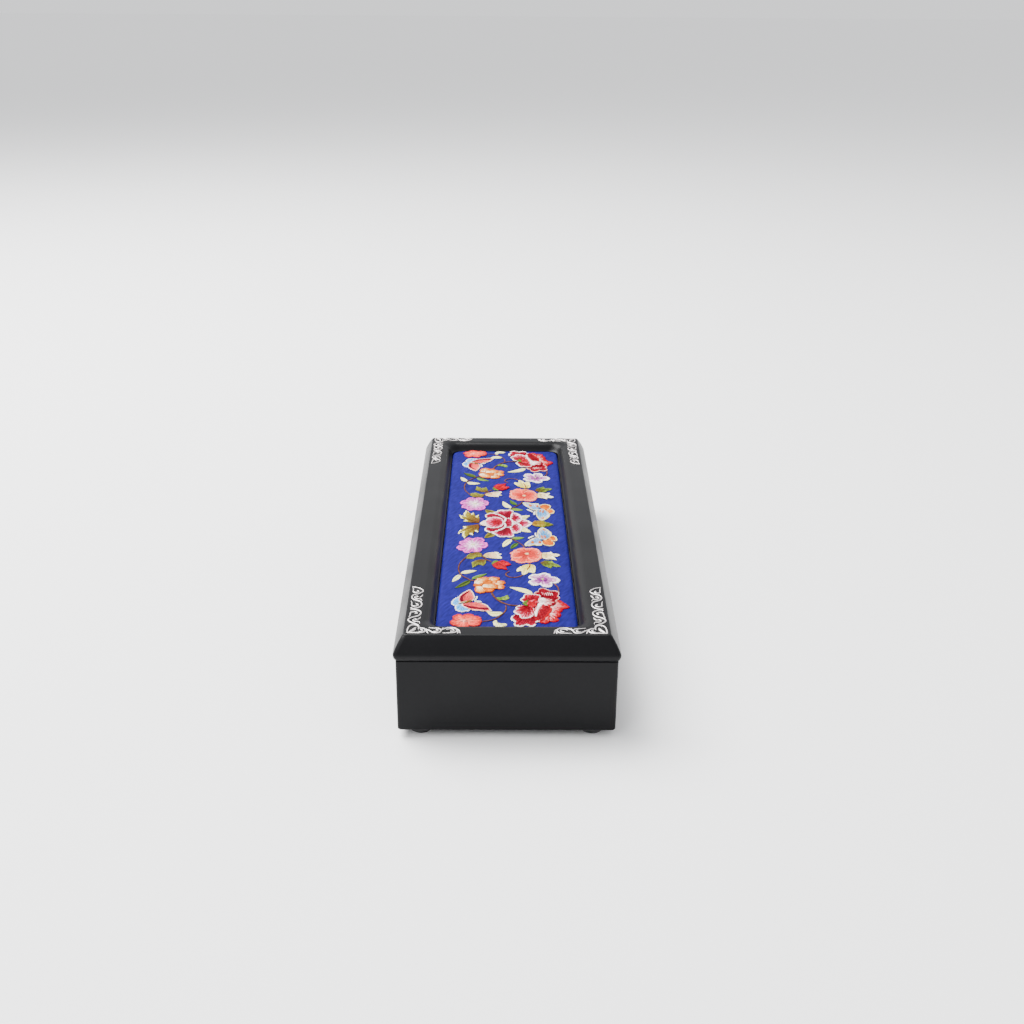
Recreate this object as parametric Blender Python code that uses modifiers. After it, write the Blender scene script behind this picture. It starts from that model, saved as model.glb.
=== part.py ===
"""Pen case: a lacquered wooden box with a hinged, bevelled lid that holds a padded silk panel.

Metres, +Z up. X runs along the case, the front is at -Y and the hinges are at +Y. The origin lies
under the middle of the case, on the surface that it stands on.
"""

from math import cos, pi, radians, sin

import bmesh
import bpy
from mathutils import Matrix

# Driving sizes of the whole case
LID_LENGTH = 0.2400
LID_WIDTH = 0.0860
CASE_HEIGHT = 0.0303
SEAM_GAP = 0.0003
OVERHANG = 0.0009
GAP = 0.0003
OVERRUN = 0.0050
WELD_DISTANCE = 0.00001

# Lid mouldings
LID_CORNER = 0.0016
RIM_RISE = 0.0024
BEVEL_RUN = 0.0039
BEVEL_BULGE = 0.0003
RIDGE_ROUND = 0.0004
RAIL_WIDTH = 0.0060
COVE_RUN = 0.0050
COVE_DROP = 0.0038
COVE_CORNER = 0.0058
REBATE_LEDGE = 0.0030

# Wooden case
WALL = 0.0060
WALL_EDGE = 0.0005
BASE_THICKNESS = 0.0030
BASE_EDGE = 0.0009
BASE_CORNER = 0.0010

# Padded panel in the lid
PANEL_CORNER = 0.0050
PANEL_BOARD_THICKNESS = 0.0008
SILK_THICKNESS = 0.0003
SILK_DEPTH = 0.0032
SILK_CROWN = 0.0006
SILK_SHOULDER = 0.0009
FOAM_THICKNESS = 0.0013
LID_BOARD_THICKNESS = 0.0016
LID_LINING_THICKNESS = 0.0007

# Velvet lining of the case
LINING_THICKNESS = 0.0010
LINING_DROP = 0.0015
FLOOR_PAD_THICKNESS = 0.0024
FLOOR_PAD_CROWN = 0.0006
FLOOR_PAD_SHOULDER = 0.0009
FLOOR_PAD_CORNER = 0.0025

# Feet
FOOT_HEIGHT = 0.0030
FOOT_RADIUS = 0.0049
FOOT_FLAT_RADIUS = 0.0030
FOOT_INSET_END = 0.0066
FOOT_INSET_SIDE = 0.0088
FOOT_SEAT = 0.0001

# Butt hinges
HINGE_SPACING = 0.1400
LEAF_LENGTH = 0.0240
LEAF_WIDTH = 0.0052
LEAF_THICKNESS = 0.0007
LEAF_SEAT = 0.0002
BARREL_RADIUS = 0.0009
BORE_RADIUS = 0.00046
PIN_RADIUS = 0.00036
KNUCKLE_GAP = 0.0002
KNUCKLE_STEP = 0.00004
SWING_GAP = 0.00025
SCREW_SPACING = 0.0120
SCREW_LENGTH = 0.0050
SHANK_RADIUS = 0.0007
HEAD_RADIUS = 0.0014
HEAD_HEIGHT = 0.0006
HEAD_SINK = 0.00005
SCREW_GAP = 0.00015
SLOT_WIDTH = 0.0004
SLOT_DEPTH = 0.00025

# Silver corner ornaments
ORNAMENT_THICKNESS = 0.0005
ORNAMENT_SEAT = 0.0001
ORNAMENT_WIDTH = 0.0052
ORNAMENT_SETBACK = 0.0009
LONG_ARM = 0.0410
SHORT_ARM = 0.0208
LONG_SCROLL_COUNT = 5
SHORT_SCROLL_COUNT = 2
SCALLOP_POINTS = 4
EYE_POINTS = 9

# Shares of the ornament's width that shape its scallops, tips and eyes
DENT_SHARE = 0.10
TAIL_SHARE = 0.55
TIP_SHARE = 0.10
HOOK_SHARE = 0.53
HOOK_BACK_SHARE = 0.80
CORNER_EYE_SHARE = 0.52
CORNER_EYE_RADIUS_SHARE = 0.17
EYE_SHARES = (0.44, 0.56)
EYE_RADIUS_SHARE = 0.21

# Levels and outlines that follow from the sizes: the lid is as high as the layers that it holds
SKIN = GAP + SILK_THICKNESS
LAYERS = LID_LINING_THICKNESS + LID_BOARD_THICKNESS + PANEL_BOARD_THICKNESS + FOAM_THICKNESS + SKIN
LID_HEIGHT = LAYERS + 4 * GAP + SILK_DEPTH
BASE_TOP = FOOT_HEIGHT + BASE_THICKNESS
WALL_BOTTOM = BASE_TOP + GAP
WALL_TOP = FOOT_HEIGHT + CASE_HEIGHT
LID_BOTTOM = WALL_TOP + SEAM_GAP
LID_TOP = LID_BOTTOM + LID_HEIGHT
SEAM = WALL_TOP + SEAM_GAP / 2
CASE_LENGTH = LID_LENGTH - 2 * OVERHANG
CASE_WIDTH = LID_WIDTH - 2 * OVERHANG
INNER_LENGTH = CASE_LENGTH - 2 * WALL
INNER_WIDTH = CASE_WIDTH - 2 * WALL
COVE_LENGTH = LID_LENGTH - 2 * (BEVEL_RUN + RAIL_WIDTH)
COVE_WIDTH = LID_WIDTH - 2 * (BEVEL_RUN + RAIL_WIDTH)
OPENING_LENGTH = COVE_LENGTH - 2 * COVE_RUN
OPENING_WIDTH = COVE_WIDTH - 2 * COVE_RUN
LID_LINING_BOTTOM = LID_BOTTOM + GAP
LID_BOARD_BOTTOM = LID_LINING_BOTTOM + LID_LINING_THICKNESS + GAP
LID_BOARD_TOP = LID_BOARD_BOTTOM + LID_BOARD_THICKNESS
REBATE_TOP = LID_BOARD_TOP + GAP
HINGE_Y = CASE_WIDTH / 2
HINGE_X = {"left": -HINGE_SPACING / 2, "right": HINGE_SPACING / 2}

CORNER_STEPS = 5
ROUND_SIDES = 24
SCREW_SIDES = 16
SMOOTH_ANGLE = radians(40)


def clear_scene():
    for obj in list(bpy.data.objects):
        bpy.data.objects.remove(obj)


def new_collection(name):
    collection = bpy.data.collections.new(name)
    bpy.context.scene.collection.children.link(collection)
    return collection


def finish_material(name, colour, roughness, metallic=0.0):
    material = bpy.data.materials.new(name)
    material.use_nodes = True
    shader = material.node_tree.nodes["Principled BSDF"]
    shader.inputs["Base Color"].default_value = (*colour, 1.0)
    shader.inputs["Roughness"].default_value = roughness
    shader.inputs["Metallic"].default_value = metallic
    material.diffuse_color = (*colour, 1.0)
    return material


clear_scene()
PARTS = new_collection("pen_case")
CUTTERS = new_collection("pen_case_cutters")
CUTTERS.hide_render = True

FINISHES = {
    "lacquer": finish_material("black_lacquer", (0.012, 0.012, 0.014), 0.38),
    "silk": finish_material("royal_blue_silk", (0.028, 0.045, 0.320), 0.45),
    "foam": finish_material("pad_foam", (0.72, 0.69, 0.60), 0.90),
    "board": finish_material("grey_board", (0.25, 0.22, 0.18), 0.90),
    "velvet": finish_material("navy_velvet", (0.010, 0.014, 0.060), 0.95),
    "silver": finish_material("silver_plate", (0.83, 0.80, 0.79), 0.30, 1.0),
    "brass": finish_material("brass", (0.72, 0.52, 0.21), 0.35, 1.0),
    "rubber": finish_material("black_rubber", (0.010, 0.010, 0.010), 0.60),
}


def add_object(name, data, finish=None, smooth=False):
    """Links an object: a part if it has a finish, otherwise a cutter."""
    obj = bpy.data.objects.new(name, data)
    if finish is None:
        CUTTERS.objects.link(obj)
        obj.hide_render = True
        obj.display_type = "WIRE"
        return obj
    PARTS.objects.link(obj)
    data.materials.append(FINISHES[finish])
    if smooth:
        data.shade_smooth()
        data.set_sharp_from_angle(angle=SMOOTH_ANGLE)
    return obj


def mesh_from(bm, name):
    bmesh.ops.recalc_face_normals(bm, faces=bm.faces)
    mesh = bpy.data.meshes.new(name)
    bm.to_mesh(mesh)
    bm.free()
    return mesh


def box_mesh(name, low, high):
    """A box between two corners."""
    bm = bmesh.new()
    bmesh.ops.create_cube(bm, size=1.0)
    size = [h - l for l, h in zip(low, high)]
    middle = [(h + l) / 2 for l, h in zip(low, high)]
    bmesh.ops.scale(bm, vec=size, verts=bm.verts)
    bmesh.ops.translate(bm, vec=middle, verts=bm.verts)
    return mesh_from(bm, name)


def cylinder_mesh(name, radius, top_radius, length, turn, place, sides=ROUND_SIDES):
    bm = bmesh.new()
    bmesh.ops.create_cone(
        bm, cap_ends=True, segments=sides, radius1=radius, radius2=top_radius, depth=length
    )
    bmesh.ops.transform(bm, matrix=Matrix.Translation(place) @ turn, verts=bm.verts)
    return mesh_from(bm, name)


def stacked_mesh(name, length, width, corner, profile):
    """Round-cornered outlines on top of each other; the profile lists (inset, height) from one end."""
    bm = bmesh.new()
    bmesh.ops.create_grid(bm, x_segments=1, y_segments=1, size=0.5)
    start_inset, start_height = profile[0]
    half_x = length / 2 - start_inset
    half_y = width / 2 - start_inset
    bmesh.ops.scale(bm, vec=(2 * half_x, 2 * half_y, 1), verts=bm.verts)
    bmesh.ops.translate(bm, vec=(0, 0, start_height), verts=bm.verts)
    bmesh.ops.bevel(
        bm, geom=bm.verts[:], offset=corner, segments=CORNER_STEPS,
        affect="VERTICES", profile=0.5, material=-1,
    )
    face = bm.faces[:][0]
    height = start_height
    for step, (inset, next_height) in enumerate(profile[1:]):
        covered = face
        grown = bmesh.ops.extrude_face_region(bm, geom=[covered])["geom"]
        face = next(item for item in grown if isinstance(item, bmesh.types.BMFace))
        if step > 0:
            bmesh.ops.delete(bm, geom=[covered], context="FACES_ONLY")
        next_x = length / 2 - inset
        next_y = width / 2 - inset
        bmesh.ops.scale(bm, vec=(next_x / half_x, next_y / half_y, 1), verts=face.verts[:])
        bmesh.ops.translate(bm, vec=(0, 0, next_height - height), verts=face.verts[:])
        half_x, half_y, height = next_x, next_y, next_height
    return mesh_from(bm, name)


def boolean(obj, other, operation="DIFFERENCE"):
    modifier = obj.modifiers.new(f"{operation.lower()}_{other.name}", "BOOLEAN")
    modifier.operation = operation
    modifier.solver = "EXACT"
    modifier.object = other
    return modifier


def cut_box(obj, name, low, high):
    boolean(obj, add_object(name, box_mesh(name, low, high)))


def pad_mesh(name, length, width, corner, bottom, edge_top, crown, shoulder):
    """A closed pad: straight sides, a rounded shoulder that its side limits, and a crowned top."""
    shoulder_share = 0.8
    turn_shares = (0, 0.35, 0.70, 1.00)
    crown_shares = (0.30, 0.62, 0.90)
    shoulder = min(shoulder, (edge_top - bottom) * shoulder_share)
    profile = [(0, bottom)]
    for share in turn_shares:
        angle = share * pi / 2
        profile.append((shoulder * (1 - cos(angle)), edge_top - shoulder * (1 - sin(angle))))
    half_width = width / 2
    for share in crown_shares:
        inset = shoulder + (half_width - shoulder) * share
        profile.append((inset, edge_top + crown * (1 - (1 - share) ** 2)))
    return stacked_mesh(name, length, width, corner, profile)


def lid_outside():
    """The lid's outside from the underside up: a rolled rim, a faintly round bevel, a soft ridge."""
    rim_steps = 4
    bevel_shares = (0.2, 0.4, 0.6, 0.8)
    ridge_shares = (0.15, 0.60, 1.00)
    profile = []
    for step in range(rim_steps + 1):
        angle = step / rim_steps * pi / 2
        profile.append((OVERHANG * (1 - sin(angle)), LID_BOTTOM + RIM_RISE * (1 - cos(angle))))
    bevel_rise = LID_HEIGHT - RIM_RISE
    for share in bevel_shares:
        bulge = BEVEL_BULGE * 4 * share * (1 - share)
        profile.append((BEVEL_RUN * share - bulge, LID_BOTTOM + RIM_RISE + bevel_rise * share))
    for share in ridge_shares:
        angle = share * pi / 2
        profile.append((
            BEVEL_RUN - RIDGE_ROUND / 2 + RIDGE_ROUND * (1 - cos(angle)),
            LID_TOP - RIDGE_ROUND * (1 - sin(angle)),
        ))
    return profile


def cove_inside():
    """The sunk opening from above the lid down: a soft edge, a falling side, a hollow foot, a lip."""
    cove_shares = [
        (-0.05, 0.00), (0.10, 0.02), (0.22, 0.09), (0.34, 0.24), (0.44, 0.43),
        (0.54, 0.63), (0.66, 0.81), (0.80, 0.93), (1.00, 1.00),
    ]
    profile = [(COVE_RUN * cove_shares[0][0], LID_TOP + OVERRUN)]
    profile += [(COVE_RUN * run, LID_TOP - COVE_DROP * drop) for run, drop in cove_shares]
    profile.append((COVE_RUN, LID_BOTTOM - OVERRUN))
    return profile


def hinge_box(x, side):
    """The room round a hinge's barrel, on the wall's side (-1) or the lid's side (+1) of the seam."""
    reach = BARREL_RADIUS + SWING_GAP
    half = LEAF_LENGTH / 2 + KNUCKLE_GAP
    far = HINGE_Y + OVERHANG + OVERRUN
    ends = sorted((SEAM + side * reach, SEAM - side * SEAM_GAP))
    return (x - half, HINGE_Y - reach, ends[0]), (x + half, far, ends[1])


def leaf_pocket(x, side):
    """The shallow pocket that a leaf lies in, let into the wall or the lid."""
    half = LEAF_LENGTH / 2 + KNUCKLE_GAP
    depth = SEAM_GAP / 2 + LEAF_THICKNESS + LEAF_SEAT
    ends = sorted((SEAM + side * depth, SEAM - side * SEAM_GAP))
    near = HINGE_Y - LEAF_WIDTH - LEAF_SEAT
    return (x - half, near, ends[0]), (x + half, HINGE_Y, ends[1])


def screw_places(x):
    middle = HINGE_Y - (LEAF_WIDTH + BARREL_RADIUS) / 2
    return {"a": (x - SCREW_SPACING / 2, middle), "b": (x + SCREW_SPACING / 2, middle)}


def cut_for_hinges(obj, side):
    """Notches, leaf pockets and screw holes for both hinges."""
    for where, x in HINGE_X.items():
        cut_box(obj, f"cut_{obj.name}_{where}_barrel", *hinge_box(x, side))
        cut_box(obj, f"cut_{obj.name}_{where}_leaf", *leaf_pocket(x, side))
        depth = SEAM_GAP / 2 + SCREW_LENGTH + GAP
        for letter, (sx, sy) in screw_places(x).items():
            name = f"cut_{obj.name}_{where}_screw_{letter}"
            place = (sx, sy, SEAM + side * depth / 2)
            radius = SHANK_RADIUS + SCREW_GAP
            hole = cylinder_mesh(name, radius, radius, depth, Matrix(), place, SCREW_SIDES)
            boolean(obj, add_object(name, hole))


def make_lid_frame():
    outside = stacked_mesh("lid_frame", LID_LENGTH, LID_WIDTH, LID_CORNER, lid_outside())
    frame = add_object("lid_frame", outside, "lacquer", smooth=True)
    cove = stacked_mesh("cut_lid_cove", COVE_LENGTH, COVE_WIDTH, COVE_CORNER, cove_inside())
    boolean(frame, add_object("cut_lid_cove", cove))
    half_x = OPENING_LENGTH / 2 + REBATE_LEDGE
    half_y = OPENING_WIDTH / 2 + REBATE_LEDGE
    cut_box(
        frame, "cut_lid_rebate",
        (-half_x, -half_y, LID_BOTTOM - OVERRUN), (half_x, half_y, REBATE_TOP),
    )
    cut_for_hinges(frame, 1)


def make_wall(name, along_x, side):
    """One mitred board: a box whose inner face is shortened by the wall's thickness at each end."""
    length = (CASE_LENGTH if along_x else CASE_WIDTH) - 2 * GAP
    across = (CASE_WIDTH if along_x else CASE_LENGTH) / 2
    bm = bmesh.new()
    bmesh.ops.create_cube(bm, size=1.0)
    bmesh.ops.scale(bm, vec=(length, WALL, WALL_TOP - WALL_BOTTOM), verts=bm.verts)
    for vert in bm.verts:
        if vert.co.y > 0:
            vert.co.x -= WALL if vert.co.x > 0 else -WALL
    rim = [
        edge for edge in bm.edges
        if all(vert.co.y < 0 and vert.co.z > 0 for vert in edge.verts)
    ]
    bmesh.ops.bevel(
        bm, geom=rim, offset=WALL_EDGE, segments=3, affect="EDGES", profile=0.5, material=-1
    )
    height = (WALL_TOP + WALL_BOTTOM) / 2
    bmesh.ops.translate(bm, vec=(0, WALL / 2 - across, height), verts=bm.verts)
    quarter = {(True, -1): 0, (False, 1): 1, (True, 1): 2, (False, -1): 3}[along_x, side]
    turn = Matrix.Rotation(quarter * pi / 2, 4, "Z")
    bmesh.ops.transform(bm, matrix=turn, verts=bm.verts)
    return add_object(name, mesh_from(bm, name), "lacquer")


def make_case():
    make_wall("front_wall", True, -1)
    back = make_wall("back_wall", True, 1)
    make_wall("left_wall", False, -1)
    make_wall("right_wall", False, 1)
    cut_for_hinges(back, -1)
    edge_steps = 3
    profile = []
    for step in range(edge_steps + 1):
        angle = step / edge_steps * pi / 2
        profile.append((BASE_EDGE * (1 - sin(angle)), FOOT_HEIGHT + BASE_EDGE * (1 - cos(angle))))
    profile.append((0, BASE_TOP))
    base = stacked_mesh("base_board", CASE_LENGTH, CASE_WIDTH, BASE_CORNER, profile)
    add_object("base_board", base, "lacquer", smooth=True)


def make_lining():
    """Velvet-covered cards on the four walls and a soft pad on the floor."""
    low = WALL_BOTTOM + FLOOR_PAD_THICKNESS + FLOOR_PAD_CROWN + GAP
    high = WALL_TOP - LINING_DROP
    half_x = INNER_LENGTH / 2 - GAP
    half_y = INNER_WIDTH / 2 - GAP
    end_y = half_y - LINING_THICKNESS - GAP
    cards = {
        "lining_front": ((-half_x, -half_y), (half_x, -half_y + LINING_THICKNESS)),
        "lining_back": ((-half_x, half_y - LINING_THICKNESS), (half_x, half_y)),
        "lining_left": ((-half_x, -end_y), (-half_x + LINING_THICKNESS, end_y)),
        "lining_right": ((half_x - LINING_THICKNESS, -end_y), (half_x, end_y)),
    }
    for name, (near, far) in cards.items():
        add_object(name, box_mesh(name, (*near, low), (*far, high)), "velvet")
    pad = pad_mesh(
        "floor_pad", 2 * half_x, 2 * half_y, FLOOR_PAD_CORNER,
        WALL_BOTTOM, WALL_BOTTOM + FLOOR_PAD_THICKNESS, FLOOR_PAD_CROWN, FLOOR_PAD_SHOULDER,
    )
    add_object("floor_pad", pad, "velvet", smooth=True)


def make_panel():
    """The padded silk panel from below: lining, lid board, stiff card, foam and silk."""
    half_x = OPENING_LENGTH / 2 + REBATE_LEDGE - GAP
    half_y = OPENING_WIDTH / 2 + REBATE_LEDGE - GAP
    for name, bottom, thickness, finish in (
        ("lid_lining", LID_LINING_BOTTOM, LID_LINING_THICKNESS, "velvet"),
        ("lid_board", LID_BOARD_BOTTOM, LID_BOARD_THICKNESS, "board"),
    ):
        slab = box_mesh(name, (-half_x, -half_y, bottom), (half_x, half_y, bottom + thickness))
        add_object(name, slab, finish)

    board_bottom = LID_BOARD_TOP + GAP
    board_top = board_bottom + PANEL_BOARD_THICKNESS
    silk_edge = LID_TOP - SILK_DEPTH
    inner_length = OPENING_LENGTH - 2 * (GAP + SKIN)
    inner_width = OPENING_WIDTH - 2 * (GAP + SKIN)
    board = stacked_mesh(
        "panel_board", inner_length, inner_width, PANEL_CORNER - SKIN,
        [(0, board_bottom), (0, board_top)],
    )
    add_object("panel_board", board, "board")
    foam = pad_mesh(
        "foam_pad", inner_length, inner_width, PANEL_CORNER - SKIN,
        board_top + GAP, silk_edge - SKIN, SILK_CROWN, SILK_SHOULDER,
    )
    add_object("foam_pad", foam, "foam", smooth=True)

    silk = pad_mesh(
        "silk_cover", OPENING_LENGTH - 2 * GAP, OPENING_WIDTH - 2 * GAP, PANEL_CORNER,
        board_bottom, silk_edge, SILK_CROWN, SILK_SHOULDER,
    )
    cover = add_object("silk_cover", silk, "silk", smooth=True)
    hollow = pad_mesh(
        "cut_silk_cover", inner_length + 2 * GAP, inner_width + 2 * GAP, PANEL_CORNER,
        board_bottom - OVERRUN, silk_edge - SILK_THICKNESS, SILK_CROWN, SILK_SHOULDER,
    )
    boolean(cover, add_object("cut_silk_cover", hollow))


def make_feet():
    """Low domes with a small flat that they stand on."""
    top = FOOT_HEIGHT - FOOT_SEAT
    dome = FOOT_RADIUS - FOOT_FLAT_RADIUS
    dome_steps = 4
    outline = [(0, top), (FOOT_RADIUS, top)]
    for step in range(dome_steps):
        angle = (step + 1) / dome_steps * pi / 2
        outline.append((FOOT_FLAT_RADIUS + dome * cos(angle), top * (1 - sin(angle))))
    outline.append((0, 0))
    spots = {
        "foot_front_left": (-1, -1),
        "foot_front_right": (1, -1),
        "foot_back_left": (-1, 1),
        "foot_back_right": (1, 1),
    }
    mesh = bpy.data.meshes.new("foot")
    edges = [(i, i + 1) for i in range(len(outline) - 1)]
    mesh.from_pydata([(x, 0, z) for x, z in outline], edges, [])
    for name, (side_x, side_y) in spots.items():
        foot = add_object(name, mesh.copy(), "rubber")
        foot.location.x = side_x * (CASE_LENGTH / 2 - FOOT_INSET_END)
        foot.location.y = side_y * (CASE_WIDTH / 2 - FOOT_INSET_SIDE)
        turn_profile(foot, ROUND_SIDES)


def turn_profile(obj, sides):
    screw = obj.modifiers.new("turned", "SCREW")
    screw.axis = "Z"
    screw.steps = sides
    screw.render_steps = sides
    screw.use_merge_vertices = True
    screw.merge_threshold = WELD_DISTANCE
    screw.use_smooth_shade = True


def knuckle_spans():
    """(start, end, is_case) of the three knuckles along the pin, from -X to +X."""
    length = (LEAF_LENGTH - 2 * KNUCKLE_GAP) / 3
    spans = []
    start = -LEAF_LENGTH / 2
    for is_case in (True, False, True):
        spans.append((start, start + length, is_case))
        start += length + KNUCKLE_GAP
    return spans


def make_leaf(name, x, side):
    """A flat brass leaf with its share of the knuckles, bored for the pin and drilled for screws."""
    near = SEAM + side * SEAM_GAP / 2
    far = near + side * LEAF_THICKNESS
    low = (x - LEAF_LENGTH / 2, HINGE_Y - LEAF_WIDTH, min(near, far))
    high = (x + LEAF_LENGTH / 2, HINGE_Y - PIN_RADIUS / 2, max(near, far))
    leaf = add_object(name, box_mesh(name, low, high), "brass", smooth=True)
    lengthwise = Matrix.Rotation(pi / 2, 4, "Y")
    reach = BARREL_RADIUS + SWING_GAP
    for number, (start, end, is_case) in enumerate(knuckle_spans()):
        if is_case != (side < 0):
            cut_box(
                leaf, f"cut_{name}_{number}",
                (x + start - KNUCKLE_GAP, HINGE_Y - reach, SEAM - reach),
                (x + end + KNUCKLE_GAP, HINGE_Y + reach, SEAM + reach),
            )
    for number, (start, end, is_case) in enumerate(knuckle_spans()):
        if is_case == (side < 0):
            place = (x + (start + end) / 2, HINGE_Y, SEAM)
            length = end - start - 2 * KNUCKLE_STEP
            barrel = cylinder_mesh(
                f"join_{name}_{number}", BARREL_RADIUS, BARREL_RADIUS, length, lengthwise, place
            )
            boolean(leaf, add_object(f"join_{name}_{number}", barrel), "UNION")
    bore = cylinder_mesh(
        f"cut_{name}_bore", BORE_RADIUS, BORE_RADIUS, LEAF_LENGTH + OVERRUN,
        lengthwise, (x, HINGE_Y, SEAM),
    )
    boolean(leaf, add_object(f"cut_{name}_bore", bore))
    for letter, (sx, sy) in screw_places(x).items():
        label = f"cut_{name}_screw_{letter}"
        slope = (HEAD_RADIUS - SHANK_RADIUS) / HEAD_HEIGHT
        wide = HEAD_RADIUS + SCREW_GAP * (1 + slope)
        narrow = SHANK_RADIUS + SCREW_GAP
        length = LEAF_THICKNESS + 2 * SCREW_GAP
        turn = Matrix() if side > 0 else Matrix.Rotation(pi, 4, "X")
        place = (sx, sy, near + side * LEAF_THICKNESS / 2)
        cone = cylinder_mesh(label, wide, wide - slope * length, length, turn, place, SCREW_SIDES)
        boolean(leaf, add_object(label, cone))
        label = f"{label}_hole"
        hole = cylinder_mesh(label, narrow, narrow, length + OVERRUN, turn, place, SCREW_SIDES)
        boolean(leaf, add_object(label, hole))


def make_screw(name, sx, sy, side):
    """A countersunk screw, head at the seam, with a straight slot."""
    top = -(SEAM_GAP / 2 + HEAD_SINK)
    outline = [
        (0, top),
        (HEAD_RADIUS, top),
        (SHANK_RADIUS, top - HEAD_HEIGHT),
        (SHANK_RADIUS, top - SCREW_LENGTH + 2 * SHANK_RADIUS),
        (0, top - SCREW_LENGTH),
    ]
    mesh = bpy.data.meshes.new(name)
    edges = [(i, i + 1) for i in range(len(outline) - 1)]
    mesh.from_pydata([(r, 0, z) for r, z in outline], edges, [])
    screw = add_object(name, mesh, "brass")
    screw.location = (sx, sy, SEAM)
    if side > 0:
        screw.rotation_euler.x = pi
    turn_profile(screw, SCREW_SIDES)
    slot_floor = top - SLOT_DEPTH
    slot = add_object(f"cut_{name}", box_mesh(
        f"cut_{name}",
        (-HEAD_RADIUS - OVERRUN, -SLOT_WIDTH / 2, slot_floor),
        (HEAD_RADIUS + OVERRUN, SLOT_WIDTH / 2, top + OVERRUN),
    ))
    slot.location = screw.location
    slot.rotation_euler = screw.rotation_euler
    boolean(screw, slot)


def make_hinges():
    for where, x in HINGE_X.items():
        make_leaf(f"hinge_{where}_case_leaf", x, -1)
        make_leaf(f"hinge_{where}_lid_leaf", x, 1)
        pin = cylinder_mesh(
            f"hinge_{where}_pin", PIN_RADIUS, PIN_RADIUS, LEAF_LENGTH,
            Matrix.Rotation(pi / 2, 4, "Y"), (x, HINGE_Y, SEAM),
        )
        add_object(f"hinge_{where}_pin", pin, "brass", smooth=True)
        for letter, (sx, sy) in screw_places(x).items():
            make_screw(f"hinge_{where}_case_screw_{letter}", sx, sy, -1)
            make_screw(f"hinge_{where}_lid_screw_{letter}", sx, sy, 1)


def scalloped_side(start, end, scrolls, across, deep):
    """Points along one side of an arm: a shallow scallop for each scroll."""
    steps = SCALLOP_POINTS * scrolls
    points = []
    for step in range(1, steps):
        share = step / steps
        along = start + (end - start) * share
        points.append((along, across + deep * sin(share * scrolls * pi) ** 2))
    return points


def eye_points(u, v, radius, turned):
    """A drop-shaped eye between a scroll and its stem."""
    drop_share = 0.35
    points = []
    for step in range(EYE_POINTS):
        angle = 2 * pi * step / EYE_POINTS
        reach = radius * (1 + drop_share * cos(angle - turned))
        points.append((u + reach * cos(angle), v + reach * sin(angle)))
    return points


def ornament_outlines():
    """The pierced L of one corner: (long arm, short arm) coordinates from its outer corner."""
    wide = ORNAMENT_WIDTH
    dent = wide * DENT_SHARE
    tail = wide * TAIL_SHARE
    tip = wide * TIP_SHARE
    hook = wide * HOOK_SHARE
    back = tail * HOOK_BACK_SHARE
    outline = [(0, 0)]
    outline += scalloped_side(0, LONG_ARM - tail, LONG_SCROLL_COUNT, 0, dent)
    outline += [(LONG_ARM, tip), (LONG_ARM - back, hook)]
    outline += scalloped_side(LONG_ARM - tail, wide, LONG_SCROLL_COUNT, wide, -dent)
    outline += [(wide, wide)]
    inner = scalloped_side(wide, SHORT_ARM - tail, SHORT_SCROLL_COUNT, wide, -dent)
    outline += [(v, u) for u, v in inner]
    outline += [(hook, SHORT_ARM), (tip, SHORT_ARM - back)]
    outer = scalloped_side(SHORT_ARM - tail, 0, SHORT_SCROLL_COUNT, 0, dent)
    outline += [(v, u) for u, v in outer]

    corner = wide * CORNER_EYE_SHARE
    eyes = [eye_points(corner, corner, wide * CORNER_EYE_RADIUS_SHARE, pi / 4)]
    arms = ((LONG_ARM, LONG_SCROLL_COUNT, True), (SHORT_ARM, SHORT_SCROLL_COUNT, False))
    for arm, scrolls, along_x in arms:
        pitch = (arm - tail - wide) / scrolls
        for number in range(scrolls):
            high = number % 2
            middle = wide + pitch * (number + 0.5)
            across = wide * EYE_SHARES[high]
            place = (middle, across) if along_x else (across, middle)
            eyes.append(eye_points(*place, wide * EYE_RADIUS_SHARE, pi * high))
    return [outline] + eyes


def make_ornaments():
    corner_x = LID_LENGTH / 2 - BEVEL_RUN - ORNAMENT_SETBACK
    corner_y = LID_WIDTH / 2 - BEVEL_RUN - ORNAMENT_SETBACK
    for name, side_x, side_y in (
        ("ornament_front_left", -1, -1),
        ("ornament_front_right", 1, -1),
        ("ornament_back_left", -1, 1),
        ("ornament_back_right", 1, 1),
    ):
        curve = bpy.data.curves.new(name, "CURVE")
        curve.dimensions = "2D"
        curve.fill_mode = "BOTH"
        curve.extrude = ORNAMENT_THICKNESS / 2
        for loop in ornament_outlines():
            spline = curve.splines.new("POLY")
            spline.points.add(len(loop) - 1)
            for point, (u, v) in zip(spline.points, loop):
                point.co = (side_x * (corner_x - u), side_y * (corner_y - v), 0, 1)
            spline.use_cyclic_u = True
        ornament = add_object(name, curve, "silver")
        ornament.location.z = LID_TOP + ORNAMENT_SEAT + ORNAMENT_THICKNESS / 2


def add_body(name, place, members):
    """Parents the pieces of one body to an empty, which stands on the body's own axis."""
    empty = bpy.data.objects.new(name, None)
    PARTS.objects.link(empty)
    empty.location = place
    for obj in PARTS.objects:
        if obj.name in members:
            obj.parent = empty
            obj.matrix_parent_inverse = Matrix.Translation(place).inverted()


make_case()
make_lining()
make_feet()
make_lid_frame()
make_panel()
make_ornaments()
make_hinges()

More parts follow.
